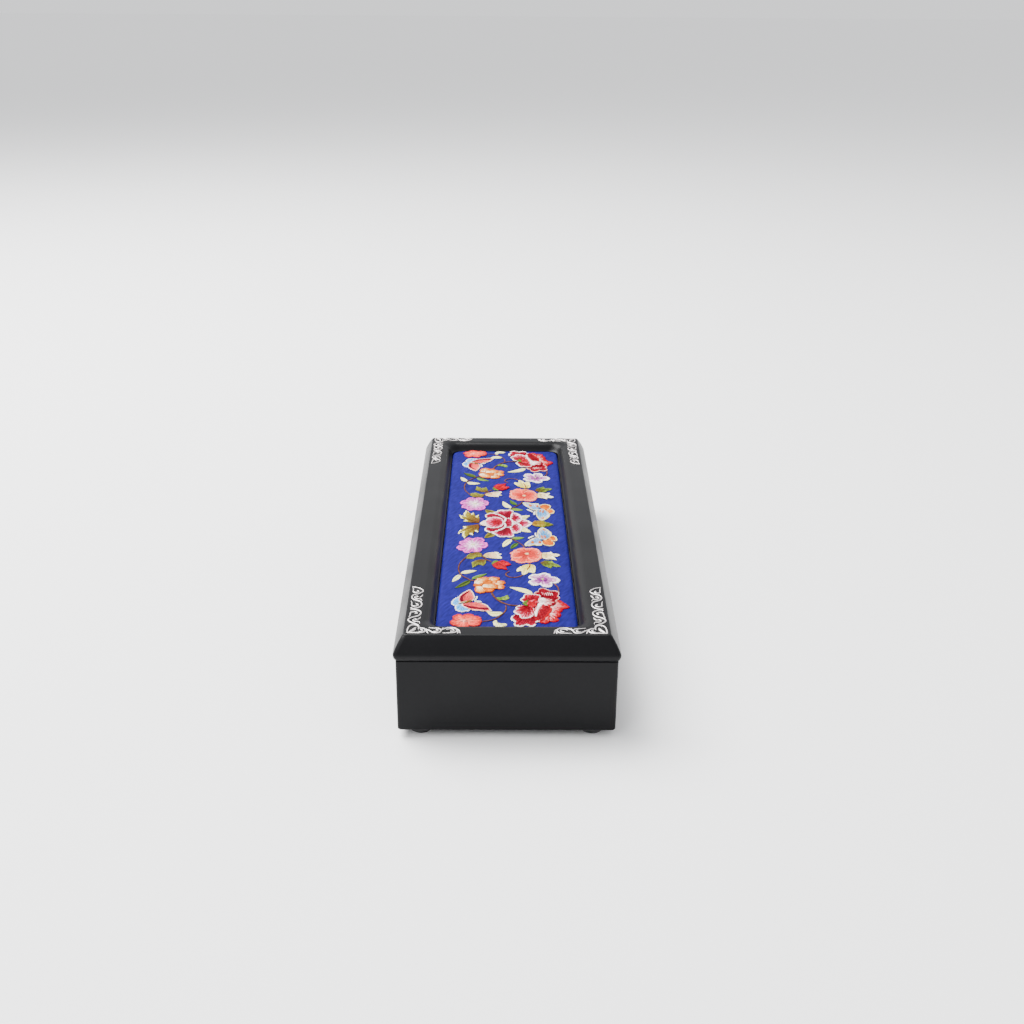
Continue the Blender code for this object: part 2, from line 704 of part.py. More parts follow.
LID_PIECES = {"lid_frame", "lid_lining", "lid_board", "panel_board", "foam_pad", "silk_cover"}
LID_PIECES |= {obj.name for obj in PARTS.objects if obj.name.startswith("ornament_")}
LID_PIECES |= {obj.name for obj in PARTS.objects if "_lid_" in obj.name}
CASE_PIECES = {obj.name for obj in PARTS.objects} - LID_PIECES
add_body("lid", (0, HINGE_Y, SEAM), LID_PIECES)
add_body("case", (0, 0, 0), CASE_PIECES)
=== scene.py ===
from math import ceil, cos, pi, radians, sin, sqrt
from random import Random

import bmesh
import bpy
import numpy as np
from mathutils import Matrix, Vector
from mathutils.bvhtree import BVHTree


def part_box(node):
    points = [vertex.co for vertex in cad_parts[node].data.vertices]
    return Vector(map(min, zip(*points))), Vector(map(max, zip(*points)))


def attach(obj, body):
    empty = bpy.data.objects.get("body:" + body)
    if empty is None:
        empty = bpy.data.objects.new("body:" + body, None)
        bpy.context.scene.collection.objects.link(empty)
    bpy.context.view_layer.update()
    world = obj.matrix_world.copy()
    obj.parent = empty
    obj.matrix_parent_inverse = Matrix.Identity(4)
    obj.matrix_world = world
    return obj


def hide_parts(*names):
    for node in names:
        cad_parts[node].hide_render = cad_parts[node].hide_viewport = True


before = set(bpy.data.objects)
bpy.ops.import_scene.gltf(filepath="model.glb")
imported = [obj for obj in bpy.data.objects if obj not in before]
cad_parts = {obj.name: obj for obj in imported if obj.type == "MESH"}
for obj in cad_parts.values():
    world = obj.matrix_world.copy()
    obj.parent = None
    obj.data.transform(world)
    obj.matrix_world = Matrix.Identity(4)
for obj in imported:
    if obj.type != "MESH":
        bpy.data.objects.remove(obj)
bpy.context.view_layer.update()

mm = 0.001

# Camera. The case is seen from its right-hand end and from above, as in the photograph's lower
# view. The optical axis passes a little below the picture's middle, so the lens is shifted.
picture_px = 1024
focal_px = 1253
axis_px = (506, 586)
azimuth, elevation, roll = radians(89.59), radians(25.17), radians(0.40)
distance = 581 * mm
aside = (0.13 * mm, -16.50 * mm)
aim = Vector((0, 0, 27 * mm))

forward = Vector((-sin(azimuth) * cos(elevation), cos(azimuth) * cos(elevation), -sin(elevation)))
level = Vector((cos(azimuth), sin(azimuth), 0))
upright = level.cross(forward)
right = level * cos(roll) + upright * sin(roll)
top = upright * cos(roll) - level * sin(roll)


def place_object(name, data):
    """Makes an object and links it to the scene."""
    made = bpy.data.objects.new(name, data)
    bpy.context.scene.collection.objects.link(made)
    return made


camera = place_object("camera", bpy.data.cameras.new("camera"))
bpy.context.scene.camera = camera
camera.data.sensor_width = 36
camera.data.lens = focal_px / picture_px * camera.data.sensor_width
camera.data.shift_x = 0.5 - axis_px[0] / picture_px
camera.data.shift_y = axis_px[1] / picture_px - 0.5
turn = Matrix((right, top, -forward)).transposed().to_4x4()
camera.matrix_world = Matrix.Translation(aim - forward * distance + right * aside[0] + top * aside[1]) @ turn


# Floor and light. A plain pale floor under soft studio light: a bright dome, a wide softbox high on
# the far left and a small one at the near left, so that the black lacquer shows soft reflections.
def linear(code):
    """The linear colour of an sRGB hex code."""
    shares = [int(code[at:at + 2], 16) / 255 for at in (1, 3, 5)]
    return (*[s / 12.92 if s < 0.04045 else ((s + 0.055) / 1.055) ** 2.4 for s in shares], 1)


def feed(tree, node, **sources):
    """Links sockets, or the first sockets of nodes, to a node's inputs; "_" stands for a space."""
    for name, source in sources.items():
        socket = source.outputs[0] if hasattr(source, "outputs") else source
        tree.links.new(socket, node.inputs[name.replace("_", " ")])


def add_node(tree, kind, settings, **sources):
    """Adds a node. Settings are its properties, or its sockets by name or number."""
    made = tree.nodes.new("ShaderNode" + kind)
    for key, value in settings.items():
        if isinstance(key, str) and hasattr(made, key):
            setattr(made, key, value)
        else:
            made.inputs[key].default_value = value
    feed(tree, made, **sources)
    return made


def new_material(name, colour, settings):
    """A node material: returns it with its tree, its shader and its Object coordinates."""
    material = bpy.data.materials.new(name)
    material.use_nodes = True
    tree = material.node_tree
    shader = tree.nodes["Principled BSDF"]
    shader.inputs["Base Color"].default_value = linear(colour)
    for key, value in settings.items():
        shader.inputs[key].default_value = value
    return material, tree, shader, add_node(tree, "TexCoord", {}).outputs["Object"]


paper, tree, shader, place = new_material("pale_seamless_paper", "#fafafa", {"Roughness": 0.9})
fibre = add_node(tree, "TexNoise", {"Scale": 900.0}, Vector=place)
rise = add_node(tree, "Bump", {"Strength": 0.05, "Distance": 0.02 * mm}, Height=fibre)
feed(tree, shader, Normal=rise)

floor_half = 20        # metres
bm = bmesh.new()
bmesh.ops.create_grid(bm, x_segments=1, y_segments=1, size=floor_half)
floor_mesh = bpy.data.meshes.new("floor")
bm.to_mesh(floor_mesh)
bm.free()
floor_mesh.materials.append(paper)
floor = place_object("floor", floor_mesh)

world = bpy.data.worlds.new("studio_dome")
bpy.context.scene.world = world
world.use_nodes = True
dome = world.node_tree.nodes["Background"]
dome.inputs["Color"].default_value = linear("#f2f3f5")
dome.inputs["Strength"].default_value = 1.3


def softbox(name, size, power, spot, target=(0, 0, 20 * mm)):
    """An area light: its size and place in metres, its power in watts."""
    light = bpy.data.lights.new(name, "AREA")
    light.shape = "RECTANGLE"
    light.size, light.size_y = size
    light.energy = power
    lamp = place_object(name, light)
    lamp.location = spot
    lamp.rotation_mode = "QUATERNION"
    lamp.rotation_quaternion = (Vector(target) - Vector(spot)).to_track_quat("-Z", "Y")


softbox("overhead_softbox", (1.2, 1.2), 85, (-0.4, -0.7, 1.35))
softbox("front_softbox", (0.6, 0.6), 5, (0.9, -0.6, 1.0))


# Lacquered box body. Four mitred boards and a bottom board of light wood, glued, filled and
# sprayed with satin black lacquer, so that no joint shows; the edges are eased by sanding.
weld = 0.001 * mm
hard_crease, soft_crease = radians(38), radians(80)
corner_arcs = 10


def finish_mesh(bm, name, material, crease=hard_crease):
    """Turns a bmesh into a piece: merged, facing outwards, smooth but for its sharp edges."""
    bmesh.ops.remove_doubles(bm, verts=bm.verts, dist=weld)
    bmesh.ops.recalc_face_normals(bm, faces=bm.faces)
    mesh = bpy.data.meshes.new(name)
    bm.to_mesh(mesh)
    bm.free()
    mesh.materials.append(material)
    mesh.shade_smooth()
    mesh.set_sharp_from_angle(angle=crease)
    return place_object(name, mesh)


def shaped_mesh(holder):
    """A new mesh of an object as its modifiers or its curve settings shape it."""
    mesh = bpy.data.meshes.new_from_object(holder.evaluated_get(bpy.context.evaluated_depsgraph_get()))
    mesh.name = holder.name
    return mesh


def grow(bm, edges):
    """Extrudes a ring of edges: returns the new vertices and the new ring's edges."""
    made = bmesh.ops.extrude_edge_only(bm, edges=edges)["geom"]
    ring = [item for item in made if isinstance(item, bmesh.types.BMVert)]
    known = set(ring)
    return ring, [item for item in made if isinstance(item, bmesh.types.BMEdge)
                  and item.verts[0] in known and item.verts[1] in known]


def even_normals(piece):
    """Keeps flat faces flat beside their rounded edges."""
    weighted = piece.modifiers.new("even_normals", "WEIGHTED_NORMAL")
    weighted.keep_sharp = True
    weighted.weight = 90


def moulding(stations, close=False):
    """Sweeps a section round a round-cornered rectangle. A station is (half length, half width,
    corner radius, height). The ends are capped, or joined to each other where close is set."""
    bm = bmesh.new()
    quadrant_layer = bm.verts.layers.int.new("quadrant")
    angle_layer = bm.verts.layers.float.new("angle")

    def seat(verts, half_x, half_y, corner, height):
        for vert in verts:
            quadrant, angle = vert[quadrant_layer], vert[angle_layer]
            side_x = 1 if quadrant in (0, 3) else -1
            side_y = 1 if quadrant in (0, 1) else -1
            vert.co.x = side_x * (half_x - corner) + corner * cos(angle)
            vert.co.y = side_y * (half_y - corner) + corner * sin(angle)
            vert.co.z = height

    count = 4 * (corner_arcs + 1)
    ring = bmesh.ops.create_circle(bm, cap_ends=not close, radius=1, segments=count)["verts"]
    for number, vert in enumerate(ring):
        quadrant, step = divmod(number, corner_arcs + 1)
        vert[quadrant_layer] = quadrant
        vert[angle_layer] = (quadrant + step / corner_arcs) * pi / 2
    edges = bm.edges[:]
    seat(ring, *stations[0])
    for station in stations[1:]:
        ring, edges = grow(bm, edges)
        seat(ring, *station)
    if close:
        seat(ring, *stations[0])
    else:
        bmesh.ops.contextual_create(bm, geom=edges)
    return bm


def carve(piece, boxes):
    """Cuts boxes (low corner, high corner) out of a piece, and keeps the result as its mesh."""
    tools = []
    for low, high in boxes:
        bm = bmesh.new()
        bmesh.ops.create_cube(bm, size=1)
        bmesh.ops.scale(bm, vec=Vector(high) - Vector(low), verts=bm.verts)
        bmesh.ops.translate(bm, vec=(Vector(high) + Vector(low)) / 2, verts=bm.verts)
        tool = finish_mesh(bm, f"tool_{len(tools)}", piece.data.materials[0])
        cut = piece.modifiers.new("cut", "BOOLEAN")
        cut.object = tool
        tools.append(tool)
    mesh = shaped_mesh(piece)
    mesh.set_sharp_from_angle(angle=hard_crease)
    piece.modifiers.clear()
    piece.data = mesh
    for tool in tools:
        bpy.data.objects.remove(tool)


def hinge_room(side):
    """The leaf pockets and barrel notches of both hinges, below (-1) or above (+1) the seam."""
    play = 0.2 * mm
    leaf_depth = 0.85 * mm
    boxes = []
    for node in ("hinge_left_pin", "hinge_right_pin"):
        low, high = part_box(node)
        axis_y, axis_z = (low.y + high.y) / 2, (low.z + high.z) / 2
        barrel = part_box(node.replace("pin", "case_leaf"))
        reach = barrel[1].y - axis_y + play
        # the pocket of the leaf, then the notch of the barrel, which runs out through the back
        for front, back, depth in (
            (barrel[0].y - play, axis_y, leaf_depth + play),
            (axis_y - reach, axis_y + 3 * reach, reach),
        ):
            ends = sorted((axis_z + side * depth, axis_z - side * play))
            boxes.append(((low.x - play, front, ends[0]), (high.x + play, back, ends[1])))
    return boxes


def rounded(start, end, steps, first="side"):
    """Points of a quarter round between two (inset, height) points."""
    points = []
    for step in range(steps + 1):
        angle = step / steps * pi / 2
        run, lift = (1 - cos(angle), sin(angle)) if first == "side" else (sin(angle), 1 - cos(angle))
        points.append((start[0] + (end[0] - start[0]) * run, start[1] + (end[1] - start[1]) * lift))
    return points


# Sprayed lacquer, rubbed down: a faint orange peel, slow waves and a slightly uneven gloss.
lacquer, tree, shader, place = new_material(
    "satin_black_lacquer", "#101012", {"IOR": 1.5, "Specular IOR Level": 0.12})
peel = add_node(tree, "TexNoise", {"Scale": 1 / (1.4 * mm), "Detail": 2.0}, Vector=place)
wave = add_node(tree, "TexNoise", {"Scale": 1 / (30 * mm), "Detail": 1.0}, Vector=place)
drawn = add_node(tree, "Mapping", {"Scale": (0.06, 1, 1)}, Vector=place)
grain = add_node(tree, "TexNoise", {"Scale": 1 / (1.1 * mm), "Detail": 4.0}, Vector=drawn)
gloss = add_node(tree, "MapRange", {"From Min": 0.3, "From Max": 0.7, "To Min": 0.35, "To Max": 0.44},
                 Value=wave)
shade = add_node(tree, "Mix", {"data_type": "RGBA", 6: linear("#08080a"), 7: linear("#0e0e10")},
                 Factor=grain)
rise = add_node(tree, "Bump", {"Strength": 0.25, "Distance": 0.004 * mm}, Height=grain)
peel_rise = add_node(tree, "Bump", {"Strength": 0.35, "Distance": 0.006 * mm}, Height=peel, Normal=rise)
feed(tree, shader, Base_Color=shade.outputs[2], Roughness=gloss, Normal=peel_rise)

base_low, base_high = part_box("base_board")
wall_low, wall_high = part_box("front_wall")
case_x, case_y = base_high.x, base_high.y
wall_thick = wall_high.y - wall_low.y
wall_top, base_top, base_bottom = wall_high.z, base_high.z, base_low.z
outer_corner, inner_corner = 1.2 * mm, 0.4 * mm
top_edge, inner_edge, base_edge = 0.5 * mm, 0.4 * mm, 0.9 * mm

section = [(wall_thick, base_top, inner_corner)]
section += [(wall_thick - i, z, inner_corner) for i, z in
            rounded((0, wall_top - inner_edge), (inner_edge, wall_top), 4)]
section += [(i, z, outer_corner) for i, z in
            rounded((top_edge, wall_top), (0, wall_top - top_edge), 5, "top")]
section += [(i, z, outer_corner) for i, z in
            rounded((0, base_bottom + base_edge), (base_edge, base_bottom), 6)]
bm = moulding([(case_x - i, case_y - i, r, z) for i, z, r in section])
box_body = finish_mesh(bm, "lacquered_box_body", lacquer)
carve(box_body, hinge_room(-1))
even_normals(box_body)
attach(box_body, "case")
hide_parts("front_wall", "back_wall", "left_wall", "right_wall", "base_board")


# Feet. Four low buttons of black rubber, moulded with a domed rim and a small flat, glued to the
# bottom board near its corners.
rubber, tree, shader, place = new_material("moulded_black_rubber", "#161617", {"Roughness": 0.62})
fleck = add_node(tree, "TexNoise", {"Scale": 1 / (0.5 * mm), "Detail": 3.0}, Vector=place)
rise = add_node(tree, "Bump", {"Strength": 0.4, "Distance": 0.03 * mm}, Height=fleck)
feed(tree, shader, Normal=rise)

flat, lip, lip_ease = 3.0 * mm, 0.25 * mm, 0.3
dome_steps, turn_steps = 8, 48
for node in ("foot_front_left", "foot_front_right", "foot_back_left", "foot_back_right"):
    low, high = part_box(node)
    radius, height = (high.x - low.x) / 2, high.z - low.z
    outline = [(0, height), (radius - lip, height), (radius - lip * lip_ease, height - lip * lip_ease)]
    for step in range(dome_steps + 1):
        angle = step / dome_steps * pi / 2
        outline.append((flat + (radius - flat) * cos(angle), (height - lip) * (1 - sin(angle))))
    outline.append((0, 0))
    bm = bmesh.new()
    verts = [bm.verts.new((r, 0, z)) for r, z in outline]
    edges = [bm.edges.new(pair) for pair in zip(verts, verts[1:])]
    bmesh.ops.spin(bm, geom=verts + edges, cent=(0, 0, 0), axis=(0, 0, 1), angle=2 * pi,
                   steps=turn_steps, use_merge=True)
    bmesh.ops.translate(bm, vec=((low.x + high.x) / 2, (low.y + high.y) / 2, low.z), verts=bm.verts)
    foot = finish_mesh(bm, f"rubber_{node}", rubber)
    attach(foot, "case")
    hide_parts(node)


# Velvet lining. Cards on the four walls, and further down a wadded pad on the floor and a card in
# the lid, all wrapped in navy cotton velvet and pressed into place.
velvet, tree, shader, place = new_material("navy_cotton_velvet", "#151a3c", {
    "Roughness": 0.95, "Specular IOR Level": 0.1, "Sheen Weight": 0.3, "Sheen Roughness": 0.35,
    "Sheen Tint": linear("#4a539c")})
pile = add_node(tree, "TexNoise", {"Scale": 1 / (0.35 * mm), "Detail": 2.0}, Vector=place)
crush = add_node(tree, "TexNoise", {"Scale": 1 / (14 * mm), "Detail": 3.0}, Vector=place)
shade = add_node(tree, "Mix", {"data_type": "RGBA", 6: linear("#090c22"), 7: linear("#11163a")},
                 Factor=crush)
rise = add_node(tree, "Bump", {"Strength": 0.8, "Distance": 0.12 * mm}, Height=pile)
feed(tree, shader, Base_Color=shade.outputs[2], Normal=rise)

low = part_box("lining_front")[0]
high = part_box("lining_back")[1]
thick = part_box("lining_front")[1].y - low.y
face_corner, wall_corner = 2.0 * mm, 2.6 * mm
section = [(thick, low.z)] + [(thick - i, z) for i, z in
                              rounded((0, high.z - thick / 2), (thick / 2, high.z), 4)]
section += rounded((thick / 2, high.z), (0, high.z - thick / 2), 4, "top") + [(0, low.z)]
bm = moulding([(high.x - i, high.y - i, face_corner if i else wall_corner, z) for i, z in section],
              close=True)
wall_lining = finish_mesh(bm, "velvet_wall_lining", velvet)
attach(wall_lining, "case")
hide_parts("lining_front", "lining_back", "lining_left", "lining_right")


# Lid. One lacquered frame: a rolled rim, a faintly rounded bevel, a flat rail and a hollow cove
# that falls to the silk. It is moulded and mitred wood, filled and sprayed as the box body is.
low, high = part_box("lid_frame")
lid_x, lid_y, lid_bottom, lid_top = high.x, high.y, low.z, high.z
rim_rise, rim_roll = 2.4 * mm, 0.9 * mm
bevel_run, bevel_bulge, ridge_round = 3.9 * mm, 0.3 * mm, 0.45 * mm
bevel_steps = 10
rail_width = 6.0 * mm
cove_run, cove_drop = 5.0 * mm, 3.8 * mm
rebate_ledge = 3.0 * mm
rim_corner, cove_corner, rebate_corner = 1.6 * mm, 5.6 * mm, 0.4 * mm
rebate_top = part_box("panel_board")[0].z
cove_shares = ((0.0, 0.0), (0.12, 0.02), (0.25, 0.06), (0.38, 0.12), (0.50, 0.20), (0.60, 0.30),
               (0.70, 0.45), (0.80, 0.68), (0.90, 0.90), (1.0, 1.0))

cove_start = bevel_run + rail_width
opening = cove_start + cove_run
stations = [(opening - rebate_ledge, rebate_corner, lid_bottom)]
stations += [(inset, rim_corner, z) for inset, z in
             rounded((rim_roll, lid_bottom), (0, lid_bottom + rim_rise), 7, "top")]
for step in range(1, bevel_steps):
    share = step / bevel_steps
    inset = bevel_run * share - bevel_bulge * 4 * share * (1 - share)
    stations.append((inset, rim_corner, lid_bottom + rim_rise + (lid_top - lid_bottom - rim_rise) * share))
ridge_start = (bevel_run - ridge_round / 2, lid_top - ridge_round)
stations += [(inset, rim_corner, z) for inset, z in
             rounded(ridge_start, (bevel_run + ridge_round, lid_top), 5)]
stations += [(cove_start + cove_run * run, cove_corner, lid_top - cove_drop * drop)
             for run, drop in cove_shares]
stations.append((opening, cove_corner, rebate_top))
stations.append((opening - rebate_ledge, rebate_corner, rebate_top))
bm = moulding([(lid_x - i, lid_y - i, r, z) for i, r, z in stations], close=True)
lid = finish_mesh(bm, "lacquered_lid_frame", lacquer)
carve(lid, hinge_room(1))
even_normals(lid)
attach(lid, "lid")
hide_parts("lid_frame")


# Padded silk panel. Royal blue silk drawn over wadding and a stiff card and glued behind it; the
# panel drops into the lid from below. Closely woven: the eye sees a soft sheen and a fine twill.
silk, tree, shader, place = new_material("royal_blue_silk_twill", "#2c3aa0", {
    "Roughness": 0.6, "Specular IOR Level": 0.04})
weave_pitch = 0.42 * mm
full_turn = 6.28
turned = add_node(tree, "Mapping", {"Rotation": (0, 0, radians(28))}, Vector=place)
twill = add_node(tree, "TexWave", {"Scale": 1 / (weave_pitch * full_turn), "Distortion": 0.6,
                 "Detail": 1.0, "bands_direction": "Y"}, Vector=turned)
drawn = add_node(tree, "Mapping", {"Scale": (0.22, 1, 1)}, Vector=turned)
slub = add_node(tree, "TexNoise", {"Scale": 1 / (0.9 * mm), "Detail": 3.0}, Vector=drawn)
cloud = add_node(tree, "TexNoise", {"Scale": 1 / (18 * mm), "Detail": 2.0}, Vector=place)
dye = add_node(tree, "Mix", {"data_type": "RGBA", 6: linear("#110e50"), 7: linear("#1b1668")},
               Factor=cloud)
lift = add_node(tree, "MapRange", {"From Min": 0.25, "From Max": 0.75, "To Min": 0.55, "To Max": 1.55},
                Value=slub)
tint = add_node(tree, "VectorMath", {"operation": "SCALE"}, Vector=dye.outputs[2], Scale=lift)
rise = add_node(tree, "Bump", {"Strength": 0.35, "Distance": 0.05 * mm}, Height=slub)
weave_rise = add_node(tree, "Bump", {"Strength": 0.5, "Distance": 0.05 * mm},
                      Height=twill.outputs["Fac"], Normal=rise)
feed(tree, shader, Base_Color=tint, Normal=weave_rise)


def padded_mesh(half_x, half_y, corner, bottom, edge_top, crown, shoulder, cell):
    """A closed pad: a crowned top with round corners, a rolled shoulder, straight sides, a flat back."""
    along_power, across_power = 6, 2.2        # a higher power keeps the crown flatter to the edge
    steps, tiny = 5, 1e-7
    bm = bmesh.new()
    flat_x, flat_y, bend = half_x - shoulder, half_y - shoulder, corner - shoulder
    bmesh.ops.create_grid(bm, x_segments=round(2 * flat_x / cell), y_segments=round(2 * flat_y / cell),
                          size=1)
    for vert in bm.verts:
        x, y = vert.co.x * flat_x, vert.co.y * flat_y
        rise = crown * (1 - (x / flat_x) ** along_power) * (1 - abs(y / flat_y) ** across_power)
        u = max(0, (abs(x) - flat_x + bend) / bend)
        v = max(0, (abs(y) - flat_y + bend) / bend)
        if u > 0 and v > 0:
            x = (flat_x - bend + bend * u * sqrt(1 - v * v / 2)) * (1 if x > 0 else -1)
            y = (flat_y - bend + bend * v * sqrt(1 - u * u / 2)) * (1 if y > 0 else -1)
        vert.co = (x, y, edge_top + rise)
    edges = [edge for edge in bm.edges if edge.is_boundary]
    for step in range(1, steps + 2):
        ring, edges = grow(bm, edges)
        before, angle = (step - 1) / steps * pi / 2, min(step, steps) / steps * pi / 2
        outward = shoulder * (sin(angle) - sin(before)) if step <= steps else 0
        drop = shoulder * (cos(before) - cos(angle)) if step <= steps else edge_top - shoulder - bottom
        for vert in ring:
            x, y = vert.co.x, vert.co.y
            aside = Vector((max(0, abs(x) - flat_x + bend), max(0, abs(y) - flat_y + bend)))
            if abs(aside.x) < tiny or abs(aside.y) < tiny:
                aside = Vector((1, 0)) if abs(x) >= flat_x - tiny else Vector((0, 1))
            aside = aside.normalized() * outward
            vert.co.x += aside.x * (1 if x > 0 else -1)
            vert.co.y += aside.y * (1 if y > 0 else -1)
            vert.co.z -= drop
    bmesh.ops.contextual_create(bm, geom=edges)
    return bm


low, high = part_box("silk_cover")
silk_crown, silk_shoulder, silk_corner, silk_cell = 0.9 * mm, 1.8 * mm, 5.0 * mm, 1.6 * mm
silk_x, silk_y, silk_edge = high.x, high.y, high.z - silk_crown
bm = padded_mesh(silk_x, silk_y, silk_corner, low.z, silk_edge, silk_crown, silk_shoulder, silk_cell)
silk_pad = finish_mesh(bm, "padded_silk_panel", silk, soft_crease)
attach(silk_pad, "lid")
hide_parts("silk_cover", "foam_pad")


# Embroidery: the stitches. Flat, dyed silk floss in long and short stitch, satin stitch and stem
# stitch, worked by hand through the silk. One strand here stands for some three of the real ones,
# whose 0.1 mm would not show. The tables below give places in mm from the panel's middle.
floss, tree, shader, place = new_material("dyed_silk_floss", "#ffffff", {
    "Roughness": 0.5, "Specular IOR Level": 0.03})
dye = add_node(tree, "Attribute", {"attribute_name": "thread_colour"})
fleck = add_node(tree, "TexNoise", {"Scale": 1 / (0.25 * mm), "Detail": 2.0}, Vector=place)
lift = add_node(tree, "MapRange", {"To Min": 0.88, "To Max": 1.1}, Value=fleck)
# light passes through the translucent floss more than once, which deepens its colour
deeper = add_node(tree, "Gamma", {"Gamma": 1.5}, Color=dye)
tint = add_node(tree, "VectorMath", {"operation": "SCALE"}, Vector=deeper, Scale=lift)
rise = add_node(tree, "Bump", {"Strength": 0.25, "Distance": 0.03 * mm}, Height=fleck)
feed(tree, shader, Base_Color=tint, Normal=rise)

thread_pitch, thread_width, thread_height = 0.29 * mm, 0.37 * mm, 0.20 * mm
row_length, layer_rise, stitch_puff, end_dip = 1.9 * mm, 0.15 * mm, 0.18 * mm, 0.10 * mm
uneven_dye = (0.86, 1.08)
chance = Random(11)
side = 1        # 1 for the pattern's right half, -1 for its mirrored left half


def spot(x, y):
    """A place on the silk, in mm from its middle; the left half of the pattern mirrors the right."""
    return Vector((side * x * mm, y * mm))


def spots(numbers):
    """Places on the silk from numbers x, y, x, y ... in mm."""
    return [spot(x, y) for x, y in zip(numbers[::2], numbers[1::2])]


def across(axis):
    """The unit direction to the left of an axis, mirrored with the pattern."""
    return Vector((-axis.y, axis.x)).normalized() * side


def shade_at(shades, share, light=1):
    """The colour at a share of the way through a list of colours, with the dye's unevenness."""
    spread = min(max(share, 0), 1) * (len(shades) - 1)
    first = min(int(spread), len(shades) - 2)
    light *= chance.uniform(*uneven_dye)
    pair = zip(linear(shades[first])[:3], linear(shades[first + 1])[:3])
    return [light * (a + (b - a) * (spread - first)) for a, b in pair]


def leaf(work, ends, width, shades, layer=0, bend=0.0):
    """Satin stitch slanting from a bent midrib to both edges; the shades run from rib to edge."""
    slant, slant_fade, fullness, row_spread = 0.2, 0.6, 0.8, 1.05
    widest_single_row = 3.4
    base, tip = spots(ends)
    axis = tip - base
    aside = across(axis)
    half = width * mm / 2
    rows = 2 if width > widest_single_row else 1
    count = max(5, round(axis.length / thread_pitch / row_spread))

    def rib(share):
        return base + axis * share + aside * (bend * mm * 4 * share * (1 - share))

    for hand, shift in ((1, 0.12), (-1, -0.08)):
        for line in range(count):
            share = (line + 0.5) / count
            reach = min(share + slant * (1 - share) ** slant_fade, 1)
            swell = max(0, sin(pi * reach ** fullness)) ** fullness
            root, edge = rib(share), rib(reach) + aside * (hand * half * swell)
            for row in range(rows):
                first = 0 if row == 0 else 0.5 + chance.uniform(-0.1, 0.05)
                last = 1 if row == rows - 1 else 0.6 + chance.uniform(-0.05, 0.1)
                tone = shade_at(shades, (row + 0.5) / rows + shift)
                work.append((*root.lerp(edge, first), *root.lerp(edge, last), layer, *tone))


def smooth_line(points, steps):
    """A smooth curve through points, as closely set points."""
    line = []
    for number in range(len(points) - 1):
        before, start, end = points[max(number - 1, 0)], points[number], points[number + 1]
        after = points[min(number + 2, len(points) - 1)]
        for step in range(steps):
            t = step / steps
            line.append(0.5 * (2 * start + (end - before) * t
                               + (2 * before - 5 * start + 4 * end - after) * t ** 2
                               + (3 * start - before - 3 * end + after) * t ** 3))
    return line + [points[-1]]
def stem(work, points, width, shades, layer=0):
    """Stem stitch: short slanting stitches that overlap along a smooth curve, a few lines wide."""
    gap, shortest, lead, trail, lift = 0.9 * mm, 0.2 * mm, 0.05 * mm, 0.08 * mm, 0.2
    curve = smooth_line(spots(points), 8)
    lines = max(1, round(width * mm / thread_pitch))
    travelled, marks = 0, [curve[0]]
    for start, end in zip(curve, curve[1:]):
        travelled += (end - start).length
        if travelled >= gap:
            marks.append(end)
            travelled = 0
    if len(marks) < 3:
        marks = [curve[0], curve[len(curve) // 2], curve[-1]]
    for line in range(lines):
        offset = (line - (lines - 1) / 2) * thread_pitch
        for number in range(len(marks) - 1):
            start, end = marks[number], marks[min(number + 2, len(marks) - 1)]
            if (end - start).length < shortest:
                continue
            aside = across(end - start)
            tone = shade_at(shades, chance.random())
            work.append((*(start + aside * (offset - lead)), *(end + aside * (offset + trail)),
                         layer + lift, *tone))


